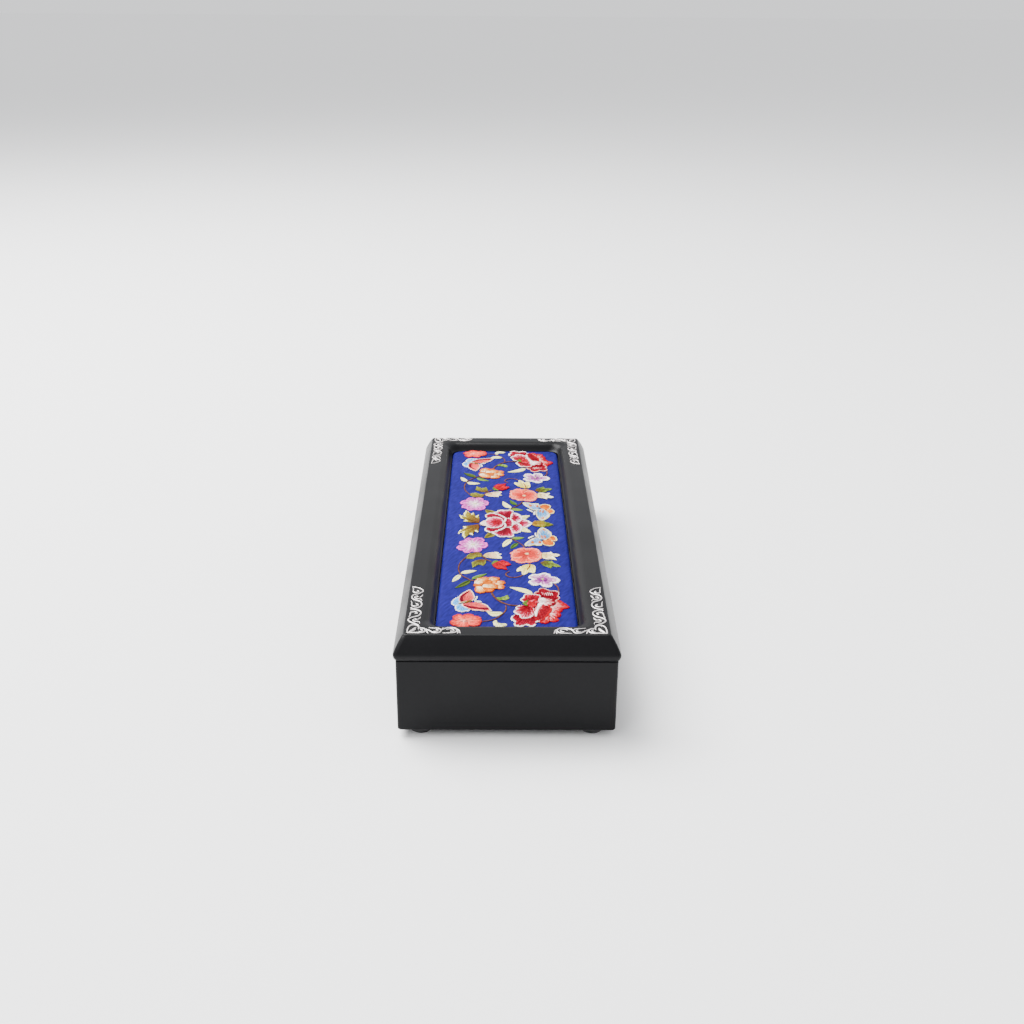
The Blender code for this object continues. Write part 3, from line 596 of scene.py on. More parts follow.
def fan(work, outline, focus, shades, layer=0, rim=0.0, shaded_folds=0, soft=True):
    """Long and short stitch that fans out from a focus and fills an outline (x, y, x, y ... in mm).
    The last shade makes a rim of the given width; folds darken the creases between petals: painted shade."""
    shortest, rim_overlap, rim_lift, widest_rim = 0.4 * mm, 0.2 * mm, 0.15, 0.45
    light_range, rim_light, ragged_edge, rim_range = (0.68, 1.16), (0.92, 1.04), (-0.35, 0.1), (0.05, 1.5)
    row_slip, row_overlap, shade_drift, fold_shade_depth = 0.35, 1.15, 0.16, 0.38
    corners = spots(outline)
    if soft:
        corners = smooth_line(corners + corners[:3], 4)[4:4 * len(corners) + 4]
    pole = spot(*focus)
    ring = np.array([(corner.x - pole.x, corner.y - pole.y) for corner in corners])
    ahead = np.roll(ring, -1, 0)
    reach = np.hypot(ring[:, 0], ring[:, 1]).max()
    count = ceil(2 * pi * reach / thread_pitch)
    body = shades[:-1] if rim else shades
    for number in range(count):
        angle = 2 * pi * number / count
        way = Vector((cos(angle), sin(angle)))
        here, there = ring @ (-way.y, way.x), ahead @ (-way.y, way.x)
        cut = np.nonzero((here > 0) != (there > 0))[0]
        share = here[cut] / (here[cut] - there[cut])
        marks = (ring[cut] + (ahead[cut] - ring[cut]) * share[:, None]) @ (way.x, way.y)
        marks = sorted(mark for mark in marks if mark > 0)
        if len(marks) % 2:
            marks.insert(0, 0)
        light = chance.uniform(*light_range)
        # painted shade: the stitches darken towards the creases between petals
        if shaded_folds:
            light *= 1 - fold_shade_depth + fold_shade_depth * abs(sin(shaded_folds * angle / 2 + 0.6)) ** 0.5
        for near, far in zip(marks[::2], marks[1::2]):
            # near the focus only every second or fourth stitch has room
            entry, near = near, max(near, reach * (0, 0.5, 0.25, 0.5)[number % 4])
            if far - near < shortest:
                continue
            far += chance.uniform(*ragged_edge) * mm
            inner = far - min(rim * mm * chance.uniform(*rim_range), widest_rim * (far - near))
            rows = max(1, round((inner - near) / row_length))
            slip = chance.uniform(-row_slip, row_slip)
            shift = chance.gauss(0, shade_drift)
            for row in range(rows):
                first = near + (inner - near) * (row + slip) / rows if row else near
                last = inner
                if row < rows - 1:
                    last = near + (inner - near) * (row + row_overlap + slip) / rows
                tone = shade_at(body, ((first + last) / 2 - entry) / (inner - entry) + shift, light)
                work.append((*(pole + way * first), *(pole + way * last), layer, *tone))
            if rim:
                work.append((*(pole + way * (inner - rim_overlap)), *(pole + way * far),
                             layer + rim_lift, *shade_at(shades[-1:], 0, chance.uniform(*rim_light))))


silk_tree = BVHTree.FromObject(silk_pad, bpy.context.evaluated_depsgraph_get())
map_cell = 1 * mm
map_x, map_y = ceil(silk_x / map_cell), ceil(silk_y / map_cell)
height_map = np.full((2 * map_x + 1, 2 * map_y + 1), silk_edge)
for column in range(2 * map_x + 1):
    for line in range(2 * map_y + 1):
        ray = Vector(((column - map_x) * map_cell, (line - map_y) * map_cell, lid_top + 10 * mm))
        hit = silk_tree.ray_cast(ray, Vector((0, 0, -1)))[0]
        if hit:
            height_map[column, line] = hit.z


def ground(x, y):
    """The height of the silk under points, read between the cells of its height map."""
    column = np.clip(x / map_cell + map_x, 0, 2 * map_x - 0.001)
    line = np.clip(y / map_cell + map_y, 0, 2 * map_y - 0.001)
    i, j = column.astype(int), line.astype(int)
    u, v = column - i, line - j
    low_side = height_map[i, j] * (1 - v) + height_map[i, j + 1] * v
    high_side = height_map[i + 1, j] * (1 - v) + height_map[i + 1, j + 1] * v
    return low_side * (1 - u) + high_side * u

def sew(name, work):
    """Makes one piece of many stitches: an array of one pointed strand, each laid along its stitch."""
    strand_sides = 5
    strand = ((0, 0.3), (0.16, 0.95), (0.5, 1.0), (0.84, 0.95), (1, 0.3))        # place, thickness
    bm = bmesh.new()
    bmesh.ops.create_circle(bm, cap_ends=True, radius=1, segments=strand_sides,
                            matrix=Matrix.Rotation(pi / 2, 4, "Y"))
    ring, edges, thick = bm.verts[:], bm.edges[:], 1
    for along, next_thick in strand:
        if along > 0:
            ring, edges = grow(bm, edges)
        bmesh.ops.scale(bm, vec=(1, next_thick / thick, next_thick / thick), verts=ring)
        for vert in ring:
            vert.co.x = along
        thick = next_thick
    bmesh.ops.contextual_create(bm, geom=edges)
    piece = finish_mesh(bm, name, floss, soft_crease)
    copies = piece.modifiers.new("stitches", "ARRAY")
    copies.count = len(work)
    copies.use_relative_offset = False
    mesh = shaped_mesh(piece)
    piece.modifiers.clear()
    piece.data = mesh
    table = np.array(work)
    unit = np.empty(len(mesh.vertices) * 3)
    mesh.vertices.foreach_get("co", unit)
    unit = unit.reshape(len(work), -1, 3)
    start, run = table[:, None, 0:2], table[:, None, 2:4] - table[:, None, 0:2]
    aside = np.stack((-run[..., 1], run[..., 0]), -1) / np.linalg.norm(run, axis=-1, keepdims=True)
    line = start + run * unit[..., 0:1]
    flat = line + aside * unit[..., 1:2] * thread_width / 2
    dome = 1 - np.abs(2 * unit[..., 0] - 1) ** 3
    height = ground(line[..., 0], line[..., 1]) + table[:, None, 4] * layer_rise
    height += dome * (stitch_puff + end_dip) - end_dip + unit[..., 2] * thread_height / 2
    mesh.vertices.foreach_set("co", np.concatenate((flat, height[..., None]), -1).ravel())
    shades = np.repeat(np.concatenate((table[:, 5:8], np.ones((len(work), 1))), 1), unit.shape[1], 0)
    layer = mesh.color_attributes.new("thread_colour", "FLOAT_COLOR", "POINT")
    layer.data.foreach_set("color", shades.ravel())
    mesh.update()
    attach(piece, "lid")


# Embroidery: stems, tendrils and leaves, worked first. Brown stem stitch; leaves in green, olive
# and cream satin stitch that slants from the midrib. The two oak-like leaves have a cream outline.
white, cream = "#fffcfa", "#fdfac4"
greens, limes = ["#4c6434", "#648048", "#8ca450"], ["#708c3c", "#90a84c", "#acbc68"]
creams, browns = ["#d8d898", "#f4f2bc", "#fdfbe0"], ["#6c4a40", "#7b5a50", "#8c6a5c"]
stems, leaves = [], []
for side in (1, -1):
    for points, width in (
        ((85.2, 6.2, 85.2, 2.3, 84.5, 0.7, 82.8, -1.7, 80.5, -3.5, 76.8, -5.3, 73.4, -6.1), 0.9),
        ((85, -0.4, 87.8, -0.2, 90.5, -0.8, 93.5, -2.3, 96.2, -4.3, 97.8, -6.7, 98.5, -10.2), 0.6),
        ((62.8, -12.6, 61.5, -14.8, 59.2, -16.7, 56.5, -18.8, 53.1, -19.8, 48.5, -20.3, 43.8, -19.8, 40,
          -18.4, 36.6, -16.8), 0.7),
        ((56.3, 6.9, 58.5, 5.2, 59.2, 2.9, 58.5, 0.6, 56.2, -0.4, 54.2, 0.2, 53.1, 1.8), 0.6),
        ((64, 19.6, 66.5, 20.8, 69.5, 21.3, 72.6, 21.1), 0.6),
        ((16, 1.2, 19.2, 3.3, 21.5, 5, 25, 7.2, 28.6, 8.2), 0.6),
        ((43.2, -6.3, 41.5, -8, 38.5, -9.8, 35.8, -10.6, 32.6, -12), 0.6),
        ((43.6, 9.8, 47.7, 10, 52.4, 8.6), 0.3),
    ):
        stem(stems, points, width, browns)
    fan(leaves, (0.6, -12.4, 3.4, -12, 7, -12.4, 10.6, -12.7, 8.8, -14.2, 13.6, -14.9, 12.2, -16.4, 17,
        -18.6, 13, -19.8, 9.6, -19.4, 11.6, -21.8, 7.6, -21, 5.4, -18.8, 3.2, -19.8, 1.8, -16.3), (-1.4,
        -10.8), ["#8c6438", "#86643c", "#8c7440", "#a08c44", "#b4ac48", cream], 0.6, 1.4, soft=False)
    leaf(leaves, (10.4, -5.6, 17, -9.6), 4.2, ["#73703c", "#8f8448", "#aca44c"], 0.4, bend=0.5)
    fan(leaves, (5.2, 7.4, 5.6, 9.2, 7.6, 10.4, 10, 11.4, 10, 9, 9, 7, 7, 6.4), (4.6, 6), ["#e0dca0", cream],
        0.4)
    # leaves on the twig beside the coral flower
    leaf(leaves, (17.9, 2.6, 16.6, 8.1), 3.0, limes, 0.6)
    leaf(leaves, (22.8, 5.2, 29.4, 2.1), 2.5, greens, 0.6, bend=-0.3)
    leaf(leaves, (18.6, 2.4, 27.4, -1.3), 3.1, creams, 0.6, bend=-0.4)
    # the three-lobed green leaf above the coral flower, reddish at its foot
    fan(leaves, (46.9, 23.5, 47.3, 21.8, 46.7, 19.8, 49.2, 19, 47.7, 17.5, 46.5, 15.6, 43.1, 14.4, 41.2,
        16.4, 41.3, 19.8, 43.5, 20.6, 45, 22.6), (42, 13.4), ["#8f6848", "#73733d", "#7f9048", "#a8b860"],
        0.6, soft=False)
    # the cream crescents and the small green leaf beside the vine
    leaf(leaves, (75, 10.6, 68.8, 1.2), 3.4, creams, 0.5, bend=-1.0)
    fan(leaves, (75.8, 0.5, 77.6, 1.2, 79.5, 1, 80.6, -1, 79.9, -3.8, 78.2, -4, 77.8, -1.7), (79.6, -6),
        limes, 0.6)
    leaf(leaves, (91.6, -1.5, 90.4, -7.9), 3.6, creams, 0.5, bend=1.5)
    fan(leaves, (97.2, -4.3, 99.6, -3.4, 100.2, -0.6, 101.8, 0, 103.1, -2.3, 102.5, -4.2, 99.8, -5.4), (96,
        -4.4), creams, 0.5)
    # leaves on the long lower stem
    leaf(leaves, (60.8, -14.4, 55.6, -8.2), 2.7, ["#506c38", "#7c9850", "#b8c888"], 0.6, bend=0.4)
    leaf(leaves, (61.6, -15, 68.6, -21.2), 3.3, ["#4c5c30", "#647440", "#84904c"], 0.6, bend=0.3)
    leaf(leaves, (54.4, -19.2, 52.2, -12.6), 3.0, creams, 0.6, bend=0.4)
    leaf(leaves, (55.8, -19.4, 62.4, -22.4), 2.6, creams, 0.6)
    fan(leaves, (40, -10.2, 41.5, -8.6, 44.4, -8.8, 47.1, -9.6, 46, -11.9, 48.9, -14.3, 43.8, -15, 41.3,
        -12.7), (38, -9.6), ["#8c6840", "#8c7c48", "#90904c", "#a4a84c"], 0.6, soft=False)
    fan(leaves, (32.2, -12.1, 34.6, -10.6, 37.7, -10.8, 38.1, -12.8, 40, -14.4, 39.3, -17.1, 36.5, -17.2,
        33.8, -15.6), (30.6, -11.4), ["#8c6840", "#90804c", "#98944c", "#a8a84c"], 0.6, soft=False)
    # the green cup of the red bud
    fan(leaves, (42.2, -3, 44.6, -4.4, 47.2, -5.2, 45.4, -6.4, 42.8, -5.6), (43.4, -7), greens[1:], 1)
side = 1
fan(leaves, (-2.4, 17, -2.7, 19, -1.5, 21, -0.2, 22, 1.5, 21, 2.3, 19, 2, 17), (0, 13), ["#8c843c",
    "#787c38", "#949848"], 0.5)
fan(leaves, (-2.8, 13, -3.7, 15.5, -3.1, 18, 0, 18.8, 3.1, 18, 3.5, 15.5, 2.6, 13, 0, 11.8), (0, 9),
    ["#b3883c", "#bca044", "#b3a74c", "#989f48"], 1.2, 0.7)
sew("embroidered_stems", stems)
sew("embroidered_leaves", leaves)


# Embroidery: the middle peony and the two large ones. Long and short stitch shades each petal
# from crimson through pink to a thin white rim; some back petals are white inside and red outside.
blush = ["#90043e", "#980442", "#9c0444", "#a00846", "#a40848", "#b82860", white]
deep = ["#8c0434", "#a0043a", "#980438", "#ac0c40", "#f8d0c8"]
bright = [white, "#f8ccc8", "#d02c4c", "#bc0434"]
middle = []
fan(middle, (-9, 4, 0, 8, 9, 4, 10, -5, 5, -8, -5, -8, -10, -5), (0, 0), ["#8c1840", "#981048"], 0)
fan(middle, (-5, 8.6, -3, 10.7, -0.1, 12.3, 3, 10.7, 5.2, 8.6, 3.5, 6.4, 0, 4.6, -3.4, 6.4), (0, 4),
    ["#a00442", "#a80444", "#b00848", "#cc3870", "#f4b0c8", white], 0.9, 0.9)
for side in (1, -1):
    for petal in (
        ((5.5, 2.8, 9, 3.6, 12, 3.2, 15, 3.6, 16.6, 2, 16, 0.2, 16.6, -1.6, 15.6, -3.6, 14, -4.6, 11.8, -6.4,
          9, -6, 7, -3), (3, -0.6), ["#980440", "#94043e", "#90043c", "#9c0842", "#b01850", "#f088ac",
          white], 1.2, 0.8),
        ((0.4, 5.4, 2.6, 7, 5.5, 7.7, 8, 7.2, 10.4, 6.6, 12.2, 4.8, 12, 3.2, 9, 2.4, 4, 1.6, 1, 3), (4.8,
          3.4), ["#a00442", "#a40444", "#a80446", "#b00c4c", "#dc6c98", "#fcdce8", white], 2, 0.7),
        ((0, -1, 2, 0.2, 4.4, 0.4, 7, -0.6, 9.6, -2.8, 11.4, -5.2, 11.8, -7.6, 9.6, -9.4, 7.2, -9.6, 5, -8,
          2, -4), (3, -4.4), blush, 3.2, 0.8),
    ):
        fan(middle, *petal)
side = 1
fan(middle, (-5.6, 0.4, -5, 2.4, -2, 3.5, 0.2, 3.7, 3, 3.4, 5.6, 2.2, 5.6, 0.4, 3, -1.6, 0, -2, -3, -1.6),
    (0, -4), ["#94043c", "#98043e", "#a00440", "#ac0848", "#d04c80", white], 2.6, 0.5)
fan(middle, (-3, -7.4, -3, -9, -2, -11, 0.4, -12.1, 2.8, -11, 3.9, -9, 4, -7.4, 0.4, -6.6), (0.4, -4),
    ["#f4a0b8", "#fce0e0", "#fdf6e0"], 3)
fan(middle, (-6.3, -4.4, -4.6, -2.2, -2, -1.2, 0.4, -1, 3, -1.2, 5.6, -2.4, 7.1, -4.8, 6.6, -7.2, 4.6, -8.9,
    2, -9.2, 0.4, -9.7, -2, -9.3, -4.4, -8.6, -6, -6.8), (0.3, -3), ["#a4043c", "#a8043e", "#b00442",
    "#c01450", "#e06894", "#fcd0e0", white], 4.2, 0.2)
sew("embroidered_middle_peony", middle)

peony_petals = (
    ((79.2, 21.6, 81.1, 22.7, 83, 24.2, 85.2, 25.1, 86.9, 24.2, 87.4, 22.8, 89.7, 21.8, 91.2, 20.4, 90.5, 18,
      86, 15.6, 82, 16, 79.7, 19), (84, 11), bright, 0.8, 3.2),
    ((89, 19.8, 90.8, 20.8, 92.4, 21.4, 94.4, 20.9, 95.4, 19.8, 97.2, 20.4, 98.8, 19, 98.4, 16.8, 94, 14.6,
      89, 15.6), (87.5, 13), bright, 1, 3.2),
    ((93.4, 17, 96.3, 17, 98.6, 16.8, 100.4, 15.3, 99.9, 13.4, 98.6, 12, 94, 12, 92, 14), (91, 12), bright,
      1.3, 2.4),
    ((72.2, 21.2, 74.1, 21.5, 76, 20.9, 77.2, 21.6, 78.8, 21.2, 80.2, 20.2, 82.4, 19.8, 84.9, 18.9, 86, 17.6,
      84.7, 15, 82, 13, 79.4, 12.6, 77.6, 12.8, 76.4, 11.6, 74.7, 11, 73, 11.8, 72.6, 12.8, 70.2, 13.2, 69.2,
      14.8, 70, 16.6, 71.4, 17.6, 71, 19.8), (83, 14.6), deep, 1.6, 0.35),
    ((93, 13, 96, 13.6, 98.6, 13, 99.7, 11.2, 101.9, 11, 103.1, 9.2, 101.7, 7.4, 102.9, 5.9, 103.2, 4.2,
      101.6, 2.6, 99.6, 3, 98.2, 1.9, 96.3, 1.5, 94.4, 2.3, 92.8, 4.6, 92, 8), (88, 10.6), ["#a81440",
      "#9c0438", "#900434", "#9c0438", "#c83860", white], 1.9, 0.8),
    ((85.6, 6, 86.4, 4.2, 87.8, 3.4, 89.1, 3.8, 90.5, 2.9, 92, 2.8, 93.4, 3.9, 94.4, 5, 96.4, 5.4, 96.9, 7.6,
      95, 10, 92.4, 10.8, 89.4, 10.8, 86, 9.4), (86, 9.2), ["#900434", "#a00436", "#a80438", "#b81448",
      "#f0a8b4", white], 2.6, 0.6),
    ((84.4, 16, 86.6, 17.6, 89.4, 17.9, 92.2, 17, 94.9, 15.6, 98.3, 14, 98, 11.4, 94.4, 10.6, 90.8, 10.4, 87,
      11.4, 84.6, 13), (83, 11), ["#f0b0b0", "#b41840", "#980434", "#a40438", "#c40838"], 3, 1.0),
    ((79.4, 18.6, 82.2, 19.8, 84.7, 19.2, 85.8, 17.8, 85.4, 15, 82.4, 13.8, 78.6, 14.6), (84.2, 11), [white,
      "#f8ccc8", "#b81444", "#9c0438"], 3.4, 1.4),
    ((76, 12.4, 76.8, 13.6, 78.6, 13.7, 80.6, 13, 82.4, 11, 82.6, 8.6, 78.6, 8.3, 76.4, 8.8, 75.8, 10.6),
      (83.6, 9), ["#a40438", "#980434", "#a4083a", "#c43058", "#fae0dc"], 3.6, 0.35),
    ((75.4, 8.9, 76.9, 9.3, 79.7, 9.6, 82.4, 9.2, 83.8, 7, 82.5, 6, 80.8, 5.4, 79.4, 6.3, 78, 6.7, 76.4,
      7.3), (84, 10), ["#9c0434", "#ac083c", "#c82c50", white], 4, 0.5),
    ((78.6, 14.8, 80.4, 16, 82.6, 15.8, 85, 14.6, 88, 13.2, 91, 12.2, 95.4, 11.6, 94.6, 10.8, 91, 11, 88,
      11.8, 84, 12.4, 80.8, 12.8), (84.8, 10), ["#e0b8bc", "#f8ecea", white, "#e8c8cc"], 4.2),
    ((80.6, 12, 81.7, 12.2, 83.2, 13.2, 84.4, 12.2, 86.4, 12, 88.4, 10.2, 87.4, 8.8, 84.7, 7.8, 82.4, 8.6,
      81.4, 10), (84.8, 9.8), ["#b80438", "#bc0438", "#bc0438", "#c41840", "#e88090"], 5.2),
)
for side, hand in ((1, "right"), (-1, "left")):
    peonies = []
    for petal in peony_petals:
        fan(peonies, *petal)
    # six pale stitches, one beside the other, on the deep red petal
    for number in range(6):
        start = spot(76.6 - 0.1 * number + chance.uniform(-0.5, 0.5), 18.7 - 0.8 * number)
        peonies.append((*start, *spot(73.2 + chance.uniform(-0.6, 0.6), 18.1 - 0.8 * number), 2.8,
                        *shade_at(["#f8d8d4", "#dc8490"], chance.random())))
    fan(peonies, (81.4, 9.1, 83.6, 8.4, 85.2, 7.9, 87.1, 8.4, 86.3, 7, 84.9, 6, 83.4, 7), (85, 4.6),
        greens[1:], 6.2, soft=False)
    sew(f"embroidered_peony_{hand}", peonies)


# Embroidery: the smaller flowers and buds, in coral, lilac, orange, red and cream floss. Each
# flower fans out from its heart; painted shade darkens the folds between its petals.
coral = ["#d25450", "#e8645c", "#f77566", "#fc8c78", "#fcac94"]
petal = ["#c84848", "#dc5850", "#f07868", "#fc9480", "#fcbca8"]
amber, russet = [white, "#fce4b8", "#eba140", "#d88420"], ["#d27d10", "#e0901c", "#c8700c"]
lilac = ["#984898", "#b464ac", "#dca0d0", "#fce4f0", white]
orchid = ["#fcf4f0", "#fce0f4", "#ec90d8", "#cc50b8", "#f088dc"]
blossom_parts = (
    # the coral flower and the small one beside the butterfly
    ((28.2, 10.6, 28.6, 13, 30, 14.4, 32.4, 15, 34, 15.8, 36.4, 15.2, 38.6, 15.4, 40.6, 14.2, 42, 13.6, 43,
      11.6, 44.2, 10, 43.8, 8.4, 44.8, 6.8, 43.9, 4.6, 42.6, 3.8, 41.4, 2, 39.6, 2.4, 38, 1.8, 36.4, 2.4,
      34.4, 1.5, 32.6, 2.6, 31, 3.2, 30.2, 4.8, 28.6, 6.2, 28.9, 8), (35, 9), coral, 0.8, 1.0, 8),
    ((28.6, 11.2, 29.6, 13.4, 32, 14.8, 34.6, 14, 35, 11.4, 33, 9.8, 30.6, 9.6), (35.6, 8.4), petal, 1.3,
      0.5),
    ((36.2, 10, 36, 13, 38, 15, 40.8, 14, 42.2, 12.2, 41, 10, 38.4, 9), (34.4, 8.6), petal, 1.5, 0.5),
    ((28.6, 7.4, 29.6, 9.4, 32.4, 9.6, 34.2, 8.2, 33.6, 5.6, 31.6, 3.8, 29.8, 5), (35.6, 9.4), petal, 1.7,
      0.5),
    ((34, 7.4, 36.4, 8.2, 39.4, 6.6, 40.2, 4.2, 38.6, 2.2, 36, 2.2, 33.8, 3, 33, 5.4), (34.6, 9.8), petal,
      1.9, 0.5),
    ((94.4, -11.4, 95.8, -10, 98.5, -9.6, 101.6, -10.3, 102.9, -12.7, 101.9, -14.6, 98.5, -15.4, 95.4,
      -14.2), (98.4, -16.6), coral[::-1], 2, 0.9),
    ((92.2, -14, 93.8, -12.7, 96.2, -13.4, 98, -16, 95.4, -17.4, 92.8, -16.6), (98.4, -16.4), coral[::-1],
      1.2, 0.9),
    ((99.4, -15.6, 101.4, -14.8, 103.6, -14.8, 104.8, -17, 103.8, -19, 101, -19, 99, -17.6), (98, -16.6),
      coral[::-1], 1.4, 0.9),
    ((92.6, -18.2, 94.6, -17.2, 98, -17.4, 98, -20.2, 95.2, -21.4, 93, -20.2), (98.8, -16.8), coral[::-1],
      1.6, 0.9),
    ((97, -19, 98.6, -17.6, 101.4, -18.4, 102.3, -19.6, 101.5, -21.6, 99.2, -22.3, 97, -21.2), (98.8, -16.2),
      coral[::-1], 1.1, 0.9),
    # the lilac and white flower, and the orchid-coloured one
    ((57.8, 20.6, 59.4, 22, 60.8, 22.5, 62.4, 22, 63.8, 20.6, 63.8, 18.9, 65.6, 18.9, 67.6, 18.1, 68, 16.4,
      67.4, 14.9, 65.6, 13.9, 66.6, 12.5, 66.6, 10.8, 65.2, 9.6, 62.9, 9.1, 61.2, 10.6, 59.2, 8.9, 57.2, 9.6,
      55.7, 11.2, 55.6, 12.8, 55.2, 14, 53.9, 15.4, 54, 17, 55.2, 18.3, 57.4, 18.7), (60.7, 15), lilac, 0.8,
      1.2, 10),
    ((21.8, -10.2, 22.6, -8.6, 24.6, -8, 27, -8.2, 28.6, -9.4, 28.8, -10.8, 30.6, -10.6, 32.4, -11.8, 32.6,
      -13.8, 31.8, -14.8, 33.2, -16, 33, -17.8, 31.4, -18.8, 30.4, -18.8, 29.8, -20.4, 27.6, -21.8, 25.4,
      -21.4, 24.2, -19.8, 22.6, -20.9, 20.4, -20.6, 19.2, -18.8, 17, -17.8, 16.4, -16.4, 17.4, -15, 16.6,
      -13, 17, -11, 18.6, -9.8, 20.4, -9.6), (24.6, -14.6), orchid, 0.8, 0.8, 9),
    # the orange flower: petals white inside and orange outside, folded over each other
    ((62.6, -1.4, 63.6, -0.5, 65, -0.4, 66.4, -1.2, 68.2, -0.5, 70, -1, 70.6, -2, 70.2, -4.4, 66.6, -6, 63,
      -4.4), (66.5, -8.4), amber, 1, 1.4),
    ((59, -4.3, 59.6, -3.1, 60.8, -2.6, 63.2, -3.4, 65.4, -4.2, 65.8, -6.4, 62.4, -8.4, 59.3, -7.2), (63,
      -9.6), amber, 1.4, 1.2),
    ((69.6, -5.4, 71.6, -5, 73.2, -5.8, 73.7, -7.7, 72.6, -9.8, 69.2, -10.4, 68, -8), (67.4, -8.4), russet,
      1.6, 0.8),
    ((68, -10.4, 70.8, -9.4, 73.6, -8.6, 74.6, -10.3, 73.2, -12.5, 70.2, -13.1, 68, -12.2), (66.8, -11.2),
      amber, 1.8, 1.3),
    ((65, -9.6, 68.4, -10.6, 68.6, -12.8, 66.6, -13.8, 64.8, -12.8), (65.4, -9), russet, 2),
    ((59.2, -8.2, 60.6, -7, 63, -7.6, 65.4, -8.6, 66.2, -11, 65.4, -13.1, 62.6, -13, 60.2, -11.6, 59.3,
      -9.8), (66, -13.4), amber, 2.4, 1.7),
    ((66, -4.4, 67.2, -3.4, 69, -3.2, 70.8, -4, 70.8, -6, 69.8, -9.4, 67, -9.8, 66, -7), (67.6, -11.4),
      amber, 2.6, 1.9),
    ((61.8, -6.6, 63.6, -5.7, 65.4, -5.9, 66.8, -7.2, 66.5, -8.9, 65.2, -10, 62.5, -8.6), (66, -10.4),
      russet, 3),
    # the cream bud, the cream tulip and the lower cream bud
    ((34.7, 23.4, 36.3, 22.3, 36.9, 20.8, 40.2, 21.8, 39.6, 19.6, 39.8, 17.4, 38.5, 15.6, 33.8, 15.6, 32.8,
      18.2, 31.8, 19.8, 33.5, 20.4, 33.7, 22.4), (36, 12), ["#d0cc80", "#f4d8b8", "#fcf8c8", "#fffce8"], 1.2,
      0.9),
    ((45.6, 10.2, 47.7, 12.2, 51.5, 12.2, 54.8, 11.5, 53.6, 9.5, 55.2, 8.7, 56.8, 6.7, 52.9, 6.4, 53.5, 4.5,
      51.2, 4.6, 48.4, 6.2, 46.3, 8.2), (43, 10), ["#e0d070", "#f4e890", "#fcf4b8", "#fcf8d0"], 1.2, 0.8),
    ((35.4, -1.7, 36.9, -2.9, 38.6, -1.9, 40.3, -2.3, 39.4, -6.7, 38.1, -9.4, 36.6, -10, 34.9, -9, 33.9, -7,
      33.4, -3.4, 35, -3.4), (36.8, -12), ["#d0c078", "#f4ccb0", "#fcf4c8", "#fffce8"], 1.2, 0.8),
    # the red bud
    ((42.3, -1.7, 43.4, 0.2, 45, 1.4, 46.9, 2, 48.3, -0.1, 51.9, 0.4, 51, -1.7, 50.8, -3.8, 47.3, -5.8, 44,
      -4.8), (42, -5.4), ["#b8043c", "#c8083c", "#d41c48", "#b80838"], 1.4, 0.8, 9),
)
hearts = (((35, 9), 1.1, ["#f0e4c0", "#d8a070"]), ((60.7, 15), 0.8, ["#e8dcae", "#7c4c70"]),
          ((24.6, -14.6), 1.0, ["#f4f0d8", "#b8b890"]), ((98.4, -16.8), 1.6, ["#f8c8b8", "#e88474"]))
heart_stitches, heart_turn = 12, 2.4
for side, hand in ((1, "right"), (-1, "left")):
    blossoms = []
    for part in blossom_parts:
        fan(blossoms, *part)
    for centre, reach, shades in hearts:
        for number in range(heart_stitches):
            way = Vector((cos(number * heart_turn), sin(number * heart_turn))) * reach * mm
            blossoms.append((*(spot(*centre) - way * 0.3), *(spot(*centre) + way), 2.4,
                             *shade_at(shades, number / heart_stitches)))
    stem(blossoms, (44.4, 9.9, 48.2, 9.9, 52.2, 8.5), 0.3, ["#983428", "#a84c38"], 3)
    sew(f"embroidered_blossoms_{hand}", blossoms)


